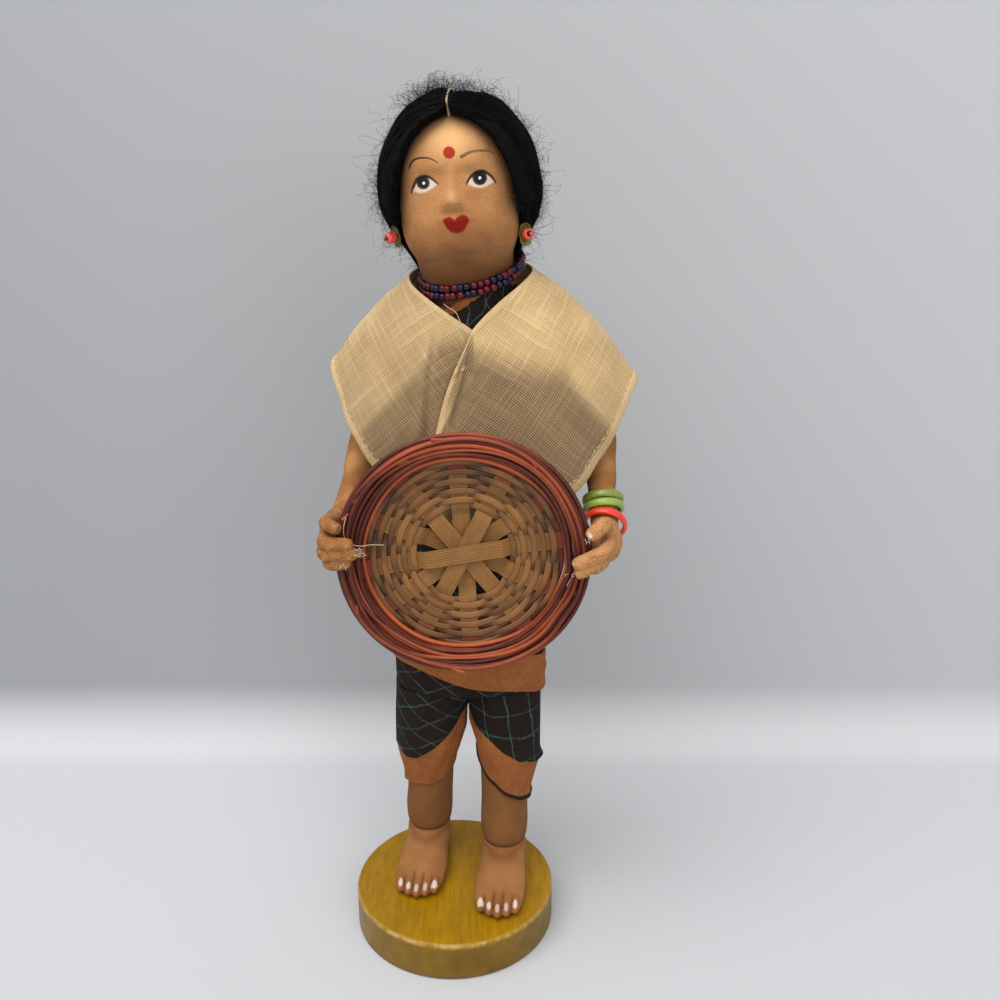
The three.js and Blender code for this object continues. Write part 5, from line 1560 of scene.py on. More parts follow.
rim_inner = basket_radius - 1.45 / 2 - 4.5 * 1.92
profile_y = np.linspace(-2.6, 2.6, 45)
ribs = 0.1 * np.abs(np.cos(profile_y / 5.2 * math.pi * 6.5)) - 0.1
for index, angle in enumerate(splint_angles):
    layer = 2.5 - index
    stations = np.linspace(-1, 1, 73) * (rim_inner + 2 * 1.92)
    sections, marks = [], []
    for run in stations:
        ease = smooth_step(abs(run), 11.0, 14.4)
        height = dish_at(run) + layer * 0.8 * (1 - ease)
        bow = 0.1 * noise.noise((run * 0.07, index * 3.1, 0))
        narrow = 1 - 0.03 * noise.noise((run * 0.1, index * 5.3, 2)) - 0.1 * smooth_step(abs(run), 26, 31)
        front = np.column_stack([np.full(45, run), profile_y * narrow + bow, height + 0.225 + ribs])
        back = np.column_stack([np.full(45, run), (profile_y * narrow + bow)[::-1],
                                np.full(45, height - 0.225) - ribs[::-1]])
        sections.append(np.vstack([front, back]))
    points, faces = capped(np.array(sections))
    flat_xy = points[:, :2].copy()
    local = points @ rotation(0, 0, angle).T
    world = in_basket(local)
    turned_faces = outward(world, faces)
    uv = [flat_xy[face].reshape(-1, 2) + [0, 7.0 * index] for face in turned_faces]
    strip = build(f"splint_{index + 1}", world, turned_faces, splint_finish, uv=uv, shade=False)
    fit(strip, "basket", "splint", f"basket_splint_{index + 1}")


def cane_finish(name, dark, light, dusty):
    made = finish(name, light, 0.5, Specular_IOR_Level=0.4)
    tint = attribute(made, "tint")
    spot = on_piece(made)
    stain = cloudy(made, spot, 0.22, 4, 0.6)
    fine = cloudy(made, spot, 2.6, 3, 0.65)
    body = mixed(made, range_of(made, calc(made, "ADD", tint, times(made, stain, 0.5)), 0.3, 1.2), dark, light)
    body = mixed(made, range_of(made, fine, 0.35, 0.7, 0, 0.4), body, dusty)
    wire(made, Base_Color=body, Roughness=range_of(made, fine, 0.3, 0.7, 0.4, 0.62))
    raised(made, fine, 0.08, 0.8)
    return made


tan_cane = cane_finish("twined_cane", (64, 38, 16), (150, 100, 48), (96, 60, 28))
red_cane = cane_finish("dyed_cane", (66, 20, 10), (182, 84, 40), (110, 42, 22))


def on_tray(angles, radii, heights):
    """Points of the basket by their angle, radius and height in its own dish."""
    return in_basket(np.stack([np.cos(angles) * radii, np.sin(angles) * radii, heights], -1))


def round_noise(angles, size, shift, level):
    """Noise read along a circle, so that it meets itself."""
    return np.array([noise.noise((math.cos(a) * size + shift, math.sin(a) * size, level)) for a in angles])


arm_angles = np.radians(sorted([*splint_angles, *(a + 180 for a in splint_angles)]))
arm_index = np.arange(14) - 1
arm_turns = np.concatenate([[arm_angles[-1] - 2 * math.pi], arm_angles, [arm_angles[0] + 2 * math.pi]])
weave_angles = np.linspace(0, 2 * math.pi, 336, endpoint=False)
paths, widths, tints, faces_up = [], [], [], []
woven_rows, row_pitch, strand_width = 10, 1.46, 2.0
for row in range(woven_rows):
    phase = np.interp(weave_angles, arm_turns, arm_index) * math.pi + row * math.pi
    swing = np.cos(phase)
    over = np.sign(swing) * np.abs(swing) ** 0.6
    loose = round_noise(weave_angles, 1.6, 0, row * 2.3)
    own = round_noise(weave_angles, 3.1, 0, row * 5.9 + 40)
    r = 14.9 + row_pitch * row + 0.3 * loose + 0.3 * own * smooth_step(row, 5, 9) - 0.12 * np.abs(np.sin(phase))
    if row == woven_rows - 1:
        r -= 0.5 * bell((np.degrees(weave_angles) + 8 + 180) % 360 - 180, 9)
    height = dish_at(r) + over * 0.62
    paths.append(on_tray(weave_angles, r, height))
    widths.append(strand_width / 2 * (1 - 0.012 * row) * (1 + 0.12 * loose + 0.1 * own))
    # Each strand is painted lighter where it passes over a splint and darker where it dips under: painted shade. The
    # rows also darken a little towards the rim.
    tints.append(np.clip(0.62 + 0.4 * loose + 0.3 * own + 0.18 * swing + draw.normal(0, 0.08) - 0.05 * row, 0, 1))
    faces_up.append(np.stack([0 * r, 0 * r, 1 + 0 * r], -1) @ basket_turn.T)
weave = strands("basket_weave", paths, widths, tan_cane, tints, sides=10, closed=True, faces=faces_up, flatness=0.26)
fit(weave, "basket", "tan_cane", "basket_weave_front", "basket_weave_back")


def wrap_bump(angles, middle, spread):
    """A bump round one angle of the tray, in degrees."""
    off = (np.degrees(angles) - middle + 180) % 360 - 180
    return bell(off, spread)


rim_angles = np.linspace(0, 2 * math.pi, 180, endpoint=False)
pulled_in = 1 - 0.036 * wrap_bump(rim_angles, -90, 30) - 0.012 * wrap_bump(rim_angles, 90, 30)
front_rim = [(29.4, -0.1), (31.1, 0.0), (32.7, -0.1), (34.2, 0.0), (35.6, -0.1), (36.8, -0.7), (30.3, 0.7),
             (32.1, 0.75), (33.9, 0.7), (35.6, 0.6)]
back_rim = [(28.6, 0.0), (29.8, 0.1), (31.0, -0.05), (32.2, 0.1), (33.4, 0.0), (34.5, 0.1), (35.5, 0.1), (36.5, 0.3)]
paths, tints = [], []
for index, (radius, lift) in enumerate(front_rim):
    wobble = round_noise(rim_angles, 1.3, index * 5, 1.7)
    sway = round_noise(rim_angles, 1.1, index * 9, 8.1)
    r = radius + (1.7 if index > 5 else 0.9 if index < 5 else 0.2) * wobble
    r += (1.0 - 0.25 * (radius - 29)) * wrap_bump(rim_angles, -8, 8) * (radius < 33)
    if 33 < radius < 36:
        r -= 0.8 * wrap_bump(rim_angles, -33, 9)
    r = np.minimum(r, basket_radius - 0.6) * pulled_in
    height = dish_at(r) + 0.225 + 0.6 + lift + 0.3 * sway
    paths.append(on_tray(rim_angles, r, height))
    # The canes at the tray's left and right are painted darker than those at its top and bottom: painted shade. The
    # rest of their tone follows each cane's wander.
    shaded = 0.26 * np.cos(2 * rim_angles) + 0.5 * wobble
    tints.append(np.clip(0.34 - shaded + 0.3 * sway + draw.normal(0, 0.2), 0, 1))
for index, (radius, lift) in enumerate(back_rim):
    wobble = round_noise(rim_angles, 1.3, index * 5, 31.7)
    r = radius + 0.8 * wobble - (0.9 if 4 <= index < 7 else 0) * wrap_bump(rim_angles, -33, 9)
    r += [0.4, 1.2, 1.0, 0.7, 0.4, 0, 0, 0][index] * wrap_bump(rim_angles, -8, 8)
    r = np.minimum(r, basket_radius - 0.6) * pulled_in
    height = dish_at(r) - 0.225 - 0.66 + lift
    paths.append(on_tray(rim_angles, r, height))
    tints.append(np.clip(0.3 + 0.35 * wobble + draw.normal(0, 0.14), 0, 1))
rim = strands("basket_rim", paths, [draw.uniform(0.52, 0.68) for _ in paths], red_cane, tints, sides=10, closed=True)
fit(rim, "basket", "red_cane", "basket_rim_cane")
paths = []
for angle, radius, length in [(147, 34.6, 3.2), (158, 35.6, 2.2), (97, 35.2, 4.4), (118, 32.4, 3.0), (-96, 35.0, 3.6),
                              (52, 34.0, 2.6), (205, 34.8, 2.4)]:
    a = math.radians(angle) + np.linspace(0, length / radius, 6)
    r = radius + np.linspace(0, 0.9, 6)
    paths.append(on_tray(a, r, dish_at(r) + 1.45 + np.linspace(0, 0.3, 6)))
fit(strands("basket_cane_ends", paths, 0.45, red_cane, [0.2, 0.9, 0.7, 0.4, 0.8, 0.6, 0.5], sides=8), "basket",
    "red_cane")
stray = []
for x, y, off in [(-33.5, 12.5, 2.2), (-34.2, 9.4, 3.0), (-34.0, 6.0, 2.6), (-32.0, 4.2, 3.0), (-29.6, 3.4, 2.4),
                  (-26.8, 3.6, 2.4), (-23.4, 3.0, 1.2)]:
    stray.append((x, y, dish_at(math.hypot(x, y)) + off))
stray = in_basket(smooth_path(stray, 40))
fit(strands("basket_stray_thread", [stray], 0.13, cream_thread, 0.4, sides=6), "basket", "tan_cane")


# The sari
# Black cotton woven with broken turquoise checks and an orange border. It is wound round the
# chest and hips, drawn between the legs and tucked up, so that each thigh has its own cuff.

leg_cloth_top = hip_height - 0.6


def every(made, value, pitch, half):
    """A mask of evenly spaced soft lines, a half width each side."""
    off = calc(made, "PINGPONG", value, pitch / 2)
    return range_of(made, off, half * 1.5, half * 0.3)


def sari_cloth(name):
    made = finish(name, (30, 30, 26), 0.88, Specular_IOR_Level=0.18)
    flat = on_piece(made, coordinates="UV")
    drift = add(made, "TexNoise", Vector=flat, Scale=0.11, Detail=2.0)
    swept = add(made, "VectorMath", operation="MULTIPLY_ADD", I0=drift.outputs[1], I1=(2.2, 2.2, 0), I2=flat).outputs[0]
    u, v = (add(made, "SeparateXYZ", Vector=swept).outputs[k] for k in (0, 1))
    broken = cloudy(made, flat, 1.5, 3, 0.7)
    lines = calc(made, "MAXIMUM", every(made, u, 8.4, 0.26), times(made, every(made, v, 7.6, 0.24), 0.75))
    lines = times(made, lines, range_of(made, broken, 0.36, 0.62, 0.08, 0.75))
    lines = times(made, lines, range_of(made, cloudy(made, flat, 0.12, 2), 0.35, 0.6, 0.45, 1.0))
    fine = calc(made, "MAXIMUM", every(made, u, 1.4, 0.3), every(made, v, 1.4, 0.3))
    u0, v0 = (add(made, "SeparateXYZ", Vector=flat).outputs[k] for k in (0, 1))
    weave = times(made, calc(made, "SINE", times(made, u0, 13.0)), calc(made, "SINE", times(made, v0, 13.0)))
    dust = cloudy(made, flat, 0.7, 4, 0.7)
    black = mixed(made, range_of(made, dust, 0.3, 0.75), (14, 14, 12), (34, 31, 26))
    black = mixed(made, times(made, fine, 0.25), black, (62, 30, 25))
    black = mixed(made, lines, black, (88, 132, 120))
    slanted = calc(made, "SINE", times(made, calc(made, "ADD", u0, v0), 9.0))
    stain = cloudy(made, flat, 0.16, 3, 0.55)
    orange = mixed(made, range_of(made, stain, 0.3, 0.75), (160, 95, 48), (130, 72, 34))
    orange = mixed(made, range_of(made, slanted, -1, 1, 0, 0.42), orange, (204, 136, 82))
    orange = mixed(made, range_of(made, dust, 0.35, 0.75, 0, 0.5), orange, (104, 54, 28))
    ragged = calc(made, "ADD", attribute(made, "edge"), range_of(made, cloudy(made, flat, 0.5, 2), 0.2, 0.8, -0.5, 0.5))
    cloth = mixed(made, range_of(made, ragged, -0.12, 0.12), black, orange)
    piping = range_of(made, attribute(made, "piping"), 0.4, 0.6)
    wire(made, Base_Color=mixed(made, piping, cloth, (44, 32, 28)),
         Roughness=range_of(made, dust, 0.3, 0.7, 0.82, 0.94))
    raised(made, calc(made, "ADD", weave, times(made, dust, 2.5)), 0.07, 0.8)
    return made


sari = sari_cloth("checked_sari")


def cloth_shell(name, outer, inner, uv, made, closed=True, **marks):
    """A thin cloth with two sides from two sheets of points; closed ones run round a limb."""
    rings = np.concatenate([outer, inner[::-1]])
    rows, columns = rings.shape[:2]
    corners, flat_corners = grid(rows, columns, wrap_columns=closed, wrap_rows=True)
    points = rings.reshape(-1, 3)
    if not closed:
        pairs = np.arange(len(outer) - 1)
        caps = []
        for column, flip in ((0, False), (columns - 1, True)):
            a, b = pairs * columns + column, (pairs + 1) * columns + column
            c, d = (rows - 2 - pairs) * columns + column, (rows - 1 - pairs) * columns + column
            quad = np.stack([a, b, c, d], -1)
            caps.append(quad[:, ::-1] if flip else quad)
        corners = np.concatenate([corners, *caps])
    sheet_uv = np.concatenate([uv, uv[::-1], uv[:1]])
    if closed:
        flat_uv = sheet_uv.reshape(-1, 2)[flat_corners]
    else:
        base = grid(rows + 1, columns, wrap_columns=False)[0]
        flat_uv = sheet_uv.reshape(-1, 2)[base]
        single = np.concatenate([uv, uv[::-1]]).reshape(-1, 2)
        flat_uv = np.concatenate([flat_uv, *[single[cap] for cap in caps]])
    if outward(points, [corners])[0] is not corners:
        corners, flat_uv = corners[:, ::-1], flat_uv[:, ::-1]
    piece = build(name, points, [corners], made, uv=[flat_uv.reshape(-1, 2)])
    for mark, values in marks.items():
        both = np.concatenate([values, values[::-1]]).ravel()
        piece.data.attributes.new(mark, "FLOAT", "POINT").data.foreach_set("value", both.astype(np.float32))
    return piece


def run_over(points, axis):
    steps = np.linalg.norm(np.diff(points, axis=axis), axis=-1)
    return np.concatenate([np.zeros_like(np.take(steps, [0], axis)), np.cumsum(steps, axis)], axis)


def flat_map(outer, slopes=(90, 0), meet=(0, 0), stretch=1.0):
    """The cloth laid flat in millimetres; its two lots of threads climb to the right by the
    slopes in degrees, and two checked lines meet at an angle round it and a share down it."""
    points = np.concatenate([outer, outer[:, :1]], 1)
    round_it = np.concatenate([[0], np.cumsum(np.linalg.norm(np.diff(points, axis=1), axis=-1).mean(0))])
    down_it = run_over(points, 0).mean(1)
    column, row = meet[0] % 360 / 360 * outer.shape[1], meet[1] * (len(outer) - 1)
    s = round_it[None, :] - np.interp(column, np.arange(len(round_it)), round_it) + 0 * points[..., 0]
    t = down_it[:, None] - np.interp(row, np.arange(len(down_it)), down_it) + 0 * s
    a, b = (math.radians(slope) for slope in slopes)
    return np.stack([(t * math.cos(a) + s * math.sin(a)) * stretch, t * math.cos(b) + s * math.sin(b)], -1)


def round_list(pairs, angles):
    """Heights read off a list by angle, in degrees, all the way round."""
    at, values = np.array(sorted(pairs)).T
    read = np.interp(np.degrees(angles) % 360, at % 360, values, period=360)
    kernel = np.ones(7) / 7
    return np.convolve(np.concatenate([read[-3:], read, read[:3]]), kernel, "valid")


def declare(outer):
    """Measures how far the cloth runs round at its longest row; the length is not kept."""
    length = run_over(outer, 1)[:, -1].max() * mm


chest_angles = whole_turn(120)
chest_top = round_list([(-180, 190.5), (-150, 192.5), (-127.6, 195.4), (-103.4, 198.6), (-81.5, 201.8), (-60, 205),
                        (-30, 205), (10, 204), (60, 200), (110, 197), (150, 193.5)], chest_angles)
down = np.linspace(0, 1, 70)[:, None]
heights = chest_top[None, :] * (1 - down) + 117.3 * down
pleats = 0.16 * np.sin(heights * 0.55 + 1.6 * np.sin(chest_angles + 0.6)[None, :] * 6)
on_neck = smooth_step(heights, 195, 199)[..., None]
shells = []
for grow in (0.95, 0.35):
    points = body_points(heights, chest_angles[None, :], grow + pleats)
    ring = np.stack([np.cos(chest_angles) * (neck_half[0] + grow - 0.5),
                     np.sin(chest_angles) * (neck_half[1] + grow - 0.5)], -1)
    points[..., :2] += (ring + neck_centre - points[..., :2]) * on_neck
    shells.append(points)
outer = shells[0]
wrap = cloth_shell("sari_bodice", *shells, flat_map(outer, (84, 24), (-94, 0.11)), sari,
                   edge=2.4 - (chest_top[None, :] - heights), piping=0 * heights)
fit(wrap, "figure", "black_sari", "chest_wrap")
declare(outer)

down = np.linspace(0, 1, 50)[:, None]
heights = 117.0 * (1 - down) + (leg_cloth_top + 0.3) * down + 0 * chest_angles[None, :]
held = np.maximum(heights, hip_height + 8)
folds = 0.3 * np.sin(3 * chest_angles[None, :] + heights * 0.12)
folds = folds + 0.12 * np.sin(heights * 0.8 + 5 * chest_angles[None, :])
outer = body_points(held, chest_angles[None, :], 0.95 + folds * 0.3)
inner = body_points(held, chest_angles[None, :], 0.3)
outer[..., 2] = inner[..., 2] = heights + disc_height
wrap = cloth_shell("sari_hips", outer, inner, flat_map(outer, (-38, 20), (-130, 0.5), 1.5),
                   sari, edge=0 * heights - 9, piping=0 * heights)
fit(wrap, "figure", "black_sari", "sari_hip_wrap")
declare(outer)


def draw_in(points, grow, amount):
    """Cloth of the thighs held inside the hips' outline where the band hangs over it."""
    wide, deep = torso_size(np.array(hip_height + 8.0), 0)
    across = (points[..., 0] - body_x) / (wide + 1.0)
    room = (deep + grow) * np.sqrt(np.clip(1 - across**2, 0, 1))
    held = body_y + np.clip(points[..., 1] - body_y, -room, room)
    points[..., 1] += (held - points[..., 1]) * amount


leg_angles = whole_turn(132)
cuffs = {
    "right": {"low": [(-180, 30.3), (-140, 31), (-108, 31.5), (-78, 32.4), (-46, 34.6), (-20, 39), (0, 41.5), (25, 38),
                      (60, 33), (110, 30.5)],
              "edge": [(-180, 45.6), (-158, 45), (-132, 43.6), (-114, 43.4), (-88, 48), (-56, 54.4), (-42, 57.8),
                       (-20, 62), (0, 66), (40, 58), (90, 47), (140, 45)],
              "slopes": (-38, 20), "meet": (-92, 0.114), "stretch": 1.45},
    "left": {"low": [(-180, 46), (-162, 44), (-136, 38.5), (-110, 35), (-86, 31.6), (-56, 29), (-28, 27.8), (0, 28.2),
                     (50, 30), (100, 34), (140, 40)],
             "edge": [(-180, 66), (-164, 61.5), (-142, 56.8), (-124, 55.6), (-116, 54.2), (-96, 49.8), (-70, 46.2),
                      (-26, 41.8), (0, 41.6), (50, 44), (100, 50), (150, 58)],
             "slopes": (-80, 2), "meet": (-90, 0.232), "stretch": 1.0},
}
for name, leg in legs.items():
    side, cuff = leg["side"], cuffs[name]
    low, edge_line = round_list(cuff["low"], leg_angles), round_list(cuff["edge"], leg_angles)
    share = np.linspace(0, 1, 84)[:, None]
    heights = leg_cloth_top * (1 - share) + low[None, :] * share
    axis_x, axis_y, _ = leg_axis(leg, heights)
    rise = (leg_cloth_top - heights) / (leg_cloth_top - ankle_height)
    snug = (thigh_diameter + (ankle_diameter - thigh_diameter) * rise) / 2 + 0.3
    full = 1 - smooth_step(share, 0.5, 1.1)
    around = leg_angles[None, :]
    folds = 0.42 * np.sin(6 * around + 4 * share) * full
    folds += 0.3 * np.sin(3 * around - 9 * share + side) * full * smooth_step(share, 0.05, 0.4)
    folds += 0.12 * np.sin(11 * around + 13 * share) * smooth_step(share, 0.2, 0.6)
    folds += 0.45 * (smooth_step(heights - edge_line[None, :], -0.15, 0.35) - 1) * smooth_step(share, 0.3, 0.5)
    flare = 3.2 * full + folds + 0.35 * smooth_step(share, 0.985, 1.0)
    shells = []
    for grow in (0.7, 0.0):
        wide = np.minimum(snug + flare, 24.5 / 2 - 0.7) + grow
        deep = snug + flare * 1.2 + grow
        x = axis_x + np.cos(around) * wide
        x = x - side * 0.8 * smooth_step(-side * np.cos(around), 0.6, 1) * smooth_step(heights, 59, 63)
        gap_wall = body_x + side * (0.74 - grow)
        x = np.maximum(x, gap_wall) if side > 0 else np.minimum(x, gap_wall)
        points = np.stack([x, axis_y + np.sin(around) * deep, heights], -1)
        draw_in(points, grow, 1 - smooth_step(share, 0.3, 0.6))
        points[..., 2] += disc_height
        shells.append(points)
    corner = np.exp(-((around - 6.15) / 0.13) ** 2 - ((heights - 43.2) / 1.5) ** 2) * (side > 0)
    shells[0] += (shells[0] - shells[1]) * (1.7 * corner)[..., None]
    piping = smooth_step(share, 0.962, 0.968) * (side > 0) + 0 * heights
    shells[0] += (shells[0] - shells[1]) * (0.55 * piping)[..., None]
    cloth = cloth_shell(f"sari_thigh_{name}", *shells,
                        flat_map(shells[0], cuff["slopes"], cuff["meet"], cuff["stretch"]), sari,
                        edge=(edge_line[None, :] - heights), piping=piping)
    fit(cloth, "figure", "black_sari", f"sari_leg_{name}")
    declare(shells[0])

band_angles = whole_turn(160)
band_share = np.linspace(0, 1, 40)[:, None]
around = band_angles[None, :]
band_low = hip_height + 4.6 - 6.6 * np.cos(around)
band_width = 12.2 + 1.2 * np.cos(around + 0.9)
heights = band_low + band_width * (1 - band_share) + 0.5 * np.sin(5 * around)
folds = 0.12 * np.sin(1.2 * (heights - band_low) + 3 * around) + 0.2 * np.sin(4 * around + heights * 0.35)
folds += 0.35 * smooth_step(band_share, 0.93, 1.0) + 0.15 * bell(band_share - 0.45 - 0.1 * np.sin(around), 0.05)
outer = body_points(hip_height + 8 + 0 * heights, around, 2.0 + folds)
inner = body_points(hip_height + 8 + 0 * heights, around, 1.35 + 0 * folds)
outer[..., 2] = inner[..., 2] = heights + disc_height
band = cloth_shell("sari_border", outer, inner, flat_map(outer), sari, edge=9 + 0 * heights, piping=0 * heights)
fit(band, "figure", "orange_border", "sari_border_band")
declare(outer)


# The shawl
# Unbleached open-weave muslin, hemmed by hand and folded round the shoulders. Its left side
# crosses over its right and is tacked there with a few stitches.

shawl_neck = np.array([
    [-13.4, -7.8, 167.3], [-6.4, -6, 175], [0.6, -4.2, 182.7], [7.6, -2.4, 190.4], [14.6, -0.6, 197.4],
    [22.8, 5, 203.6], [25, 14, 206], [19.6, 25.5, 207],
    [8, 29.5, 207.5], [-3.5, 26, 206.5], [-10.8, 15, 204.5], [-9.8, 6, 202], [-1, -1, 196],
    [7.6, -2.4, 190.4], [16, -3.8, 184], [24.4, -5.2, 177.8],
])
shawl_shoulder = np.array([
    [8, -9, 160], [28, -9, 168], [41, -4, 186], [43, 14, 197], [32, 31, 196],
    [9, 34.5, 190], [-14, 31, 195], [-24.5, 14, 194.5], [-22.5, -3, 186], [-9, -9, 170],
])
shawl_shoulder = shawl_shoulder[np.arange(-3, 13) % 10]
shawl_hem = np.array([
    [8, -6.5, 128], [37, -5, 141.4], [50, 4.5, 158.6], [57.6, 14, 173.2], [40, 31, 154],
    [9, 35.5, 143], [-20, 31, 158], [-35.2, 14, 178], [-30.4, 2.5, 162.6], [-15, -5.5, 141.6],
])
shawl_hem = shawl_hem[np.arange(-3, 13) % 10]


def ring_curve(points, turns):
    """A smooth curve through points a tenth of a turn apart, the fourth of them at no turn."""
    at = turns * 10 + 3
    index = np.clip(np.floor(at).astype(int), 1, len(points) - 3)
    t = (at - index)[..., None]
    p0, p1, p2, p3 = (points[index + k] for k in (-1, 0, 1, 2))
    d0, d1, d2 = (np.sqrt(np.linalg.norm(b - a, axis=-1))[..., None] for a, b in ((p0, p1), (p1, p2), (p2, p3)))
    first = ((p1 - p0) / d0 - (p2 - p0) / (d0 + d1) + (p2 - p1) / d1) * d1
    last = ((p2 - p1) / d1 - (p3 - p1) / (d1 + d2) + (p3 - p2) / d2) * d1
    return p1 + first * t + (3 * (p2 - p1) - 2 * first - last) * t**2 + (2 * (p1 - p2) + first + last) * t**3


def on_shawl(turns, share):
    share = share[..., None]
    return raise_up(ring_curve(shawl_neck, turns) * (1 - share) ** 2
                    + ring_curve(shawl_shoulder, turns) * 2 * share * (1 - share)
                    + ring_curve(shawl_hem, turns) * share**2)


def crease(turns, share, turn, slope, spread, low, high, depth):
    """A fold running down the cloth from one share to another."""
    line = bell(turns - turn - slope * share, spread)
    return depth * line * smooth_step(share, low, low + 0.1) * (1 - smooth_step(share, high, high + 0.15))


tack_turn, tack_share = -0.024, 0.16
shawl_creases = [
    (-0.013, -0.085, 0.0045, 0.06, 0.9, 0.65), (0, -0.085, 0.009, 0.1, 0.9, -0.6),
    (0.004, -0.01, 0.0035, 0.0, 0.2, 0.3),
    (0.895, 0.05, 0.008, 0.1, 0.6, -0.7), (0.88, 0.055, 0.008, 0.1, 0.6, 0.5), (0.93, -0.03, 0.014, 0.2, 0.6, 0.5),
    (0.09, -0.02, 0.02, 0.2, 0.9, 0.6), (0.055, -0.04, 0.016, 0.25, 0.95, -0.7), (0.15, 0.0, 0.018, 0.45, 0.95, -0.6),
    (0.63, 0.0, 0.03, 0.2, 0.95, 0.9), (0.38, 0.02, 0.03, 0.3, 0.95, 0.8), (0.5, 0.0, 0.02, 0.15, 0.95, -1.0),
    (0.45, 0.02, 0.02, 0.2, 0.95, 0.7), (0.56, -0.02, 0.02, 0.2, 0.95, 0.7), (0.8, 0.0, 0.02, 0.5, 0.95, 0.5),
]


def shawl_lift(turns, share):
    """How far the cloth stands off its even surface: the lap, folds and soft waves."""
    round_it = turns * 2 * math.pi
    lift = 0.5 * np.sin(4 * round_it + 3 * share + 0.7) * smooth_step(share, 0.2, 0.9)
    lift += 0.22 * np.sin(11 * round_it + 5 * share + 2.0 + np.sin(3 * round_it)) * smooth_step(share, 0.1, 0.6)
    ripple = np.sin(23 * round_it - 6 * share + 2 * np.sin(5 * round_it + 4 * share))
    lift += 0.1 * ripple * smooth_step(share, 0.0, 0.3)
    lift += 0.1 * np.sin(17 * share + 4 * np.sin(2 * round_it))
    lift += 0.8 * smooth_step(-turns, -0.16, -0.03) - 0.5 * smooth_step(turns, 0.84, 0.97)
    for fold in shawl_creases:
        lift += crease(turns, share, *fold)
    from_tack = np.hypot((turns - tack_turn) / 0.02, (share - tack_share) / 0.05)
    lift -= 0.75 * np.exp(-from_tack**2)
    rays = np.sin(7 * np.arctan2((share - tack_share) / 0.05, (turns - tack_turn) / 0.02))
    return lift + 0.2 * rays * bell(from_tack - 1.6, 1.2)


def off_shawl(turns, share, lift):
    """Points a distance off the shawl's even surface."""
    along = on_shawl(turns + 0.006, share) - on_shawl(turns - 0.006, share)
    fall = on_shawl(turns, share + 0.012) - on_shawl(turns, share - 0.012)
    out = np.cross(fall, along)
    out /= np.linalg.norm(out, axis=-1)[..., None]
    return on_shawl(turns, share) + out * lift[..., None]


shawl_columns, shawl_rows = 400, 120
across = np.linspace(0, 1, shawl_columns)[None, :]
share = np.linspace(0, 1, shawl_rows)[:, None] + 0 * across
start_turn = -0.065 * (1 - np.exp(-share / 0.1))
turns = start_turn + (1.02 - start_turn) * across
lift = shawl_lift(turns, share)
hem = smooth_step(share, 0.948, 0.954)
neck_fold = smooth_step(-share, -0.034, -0.026)
front_fold = smooth_step(start_turn - turns, -0.0115, -0.0095)
doubled = np.maximum(np.maximum(hem, neck_fold), front_fold)
thick = 0.32 + 0.3 * doubled + 0.2 * hem
outer = off_shawl(turns, share, lift + thick)
inner = off_shawl(turns, share, lift)

# Where dark clothes lie close under the cloth it is painted darker, as it looks in the photograph: over the lower
# front, across the front of the doll's right side, and at the back. This is partly those clothes seen through the open
# weave and partly painted shade.
x, y, z = (inner[..., k] - (0, 0, disc_height)[k] for k in range(3))
bright_line = np.where(x > 8, np.minimum(186 - 0.27 * (x - 8), 178.8 - 1.2 * (x - 35)),
                       190 + 1.1 * np.minimum(x + 1, 0))
veil = smooth_step(bright_line - z, -3, 7) * (1 - smooth_step(y, 8, 20))
veil *= 1 - 0.6 * smooth_step(0.0315 * share - (turns - start_turn), -0.012, 0.0)
back_veil = smooth_step(y, 22, 30) * smooth_step(share, 0.15, 0.4) * 0.45
veil = np.maximum(veil, back_veil)
veil = np.maximum(veil, 0.42 * smooth_step(-x, -4, 10) * (1 - smooth_step(y, 4, 14)))

# The threads run along the neck edge and across it, over each shoulder and down behind
flat_uv = np.zeros((shawl_rows, shawl_columns, 2))
for side, ridge_turn in ((1, 0.3), (-1, 0.7)):
    run, fall = np.array([side * 0.84, 0, -0.5426]), np.array([-side * 0.5426, 0, -0.84])
    step = np.diff(outer, axis=1)
    square = np.sqrt(np.maximum((step**2).sum(-1) - (step @ run) ** 2, 0))
    length = side * np.concatenate([np.zeros((shawl_rows, 1)), np.cumsum(square, 1)], 1)
    rows_at = np.arange(shawl_rows)
    ridge = np.abs(turns - ridge_turn).argmin(1)
    length = length[rows_at, ridge][:, None] - length + ((outer[rows_at, ridge] - outer[0, ridge[0]]) @ fall)[:, None]
    over_v = outer @ run + (15.1 if side < 0 else 0)
    half = (turns <= 0.5) if side > 0 else (turns > 0.5)
    flat_uv[half] = np.stack([length, over_v], -1)[half]

muslin = finish("open_muslin", (214, 182, 130), 0.72, Specular_IOR_Level=0.35, Sheen_Weight=0.1, Sheen_Roughness=0.5)
flat = on_piece(muslin, coordinates="UV")
bend = add(muslin, "TexNoise", Vector=flat, Scale=0.05, Detail=2.0)
flat = add(muslin, "VectorMath", operation="MULTIPLY_ADD", I0=bend.outputs[1], I1=(3.0, 3.0, 0), I2=flat).outputs[0]
u, v = (add(muslin, "SeparateXYZ", Vector=flat).outputs[k] for k in (0, 1))
thread_pitch = 0.62
threads, slubs = [], []
for axis, stretch in ((u, (1.6, 0.04, 1)), (v, (0.04, 1.6, 1))):
    slub = add(muslin, "TexNoise", Vector=add(muslin, "Mapping", Vector=flat, Scale=stretch).outputs[0], Scale=1.0,
               Detail=1.0).outputs[0]
    off = calc(muslin, "PINGPONG", axis, thread_pitch / 2)
    threads.append(range_of(muslin, calc(muslin, "ADD", off, range_of(muslin, slub, 0.3, 0.7, 0.05, -0.05)), 0.25,
                            0.12))
    slubs.append(range_of(muslin, slub, 0.6, 0.72))
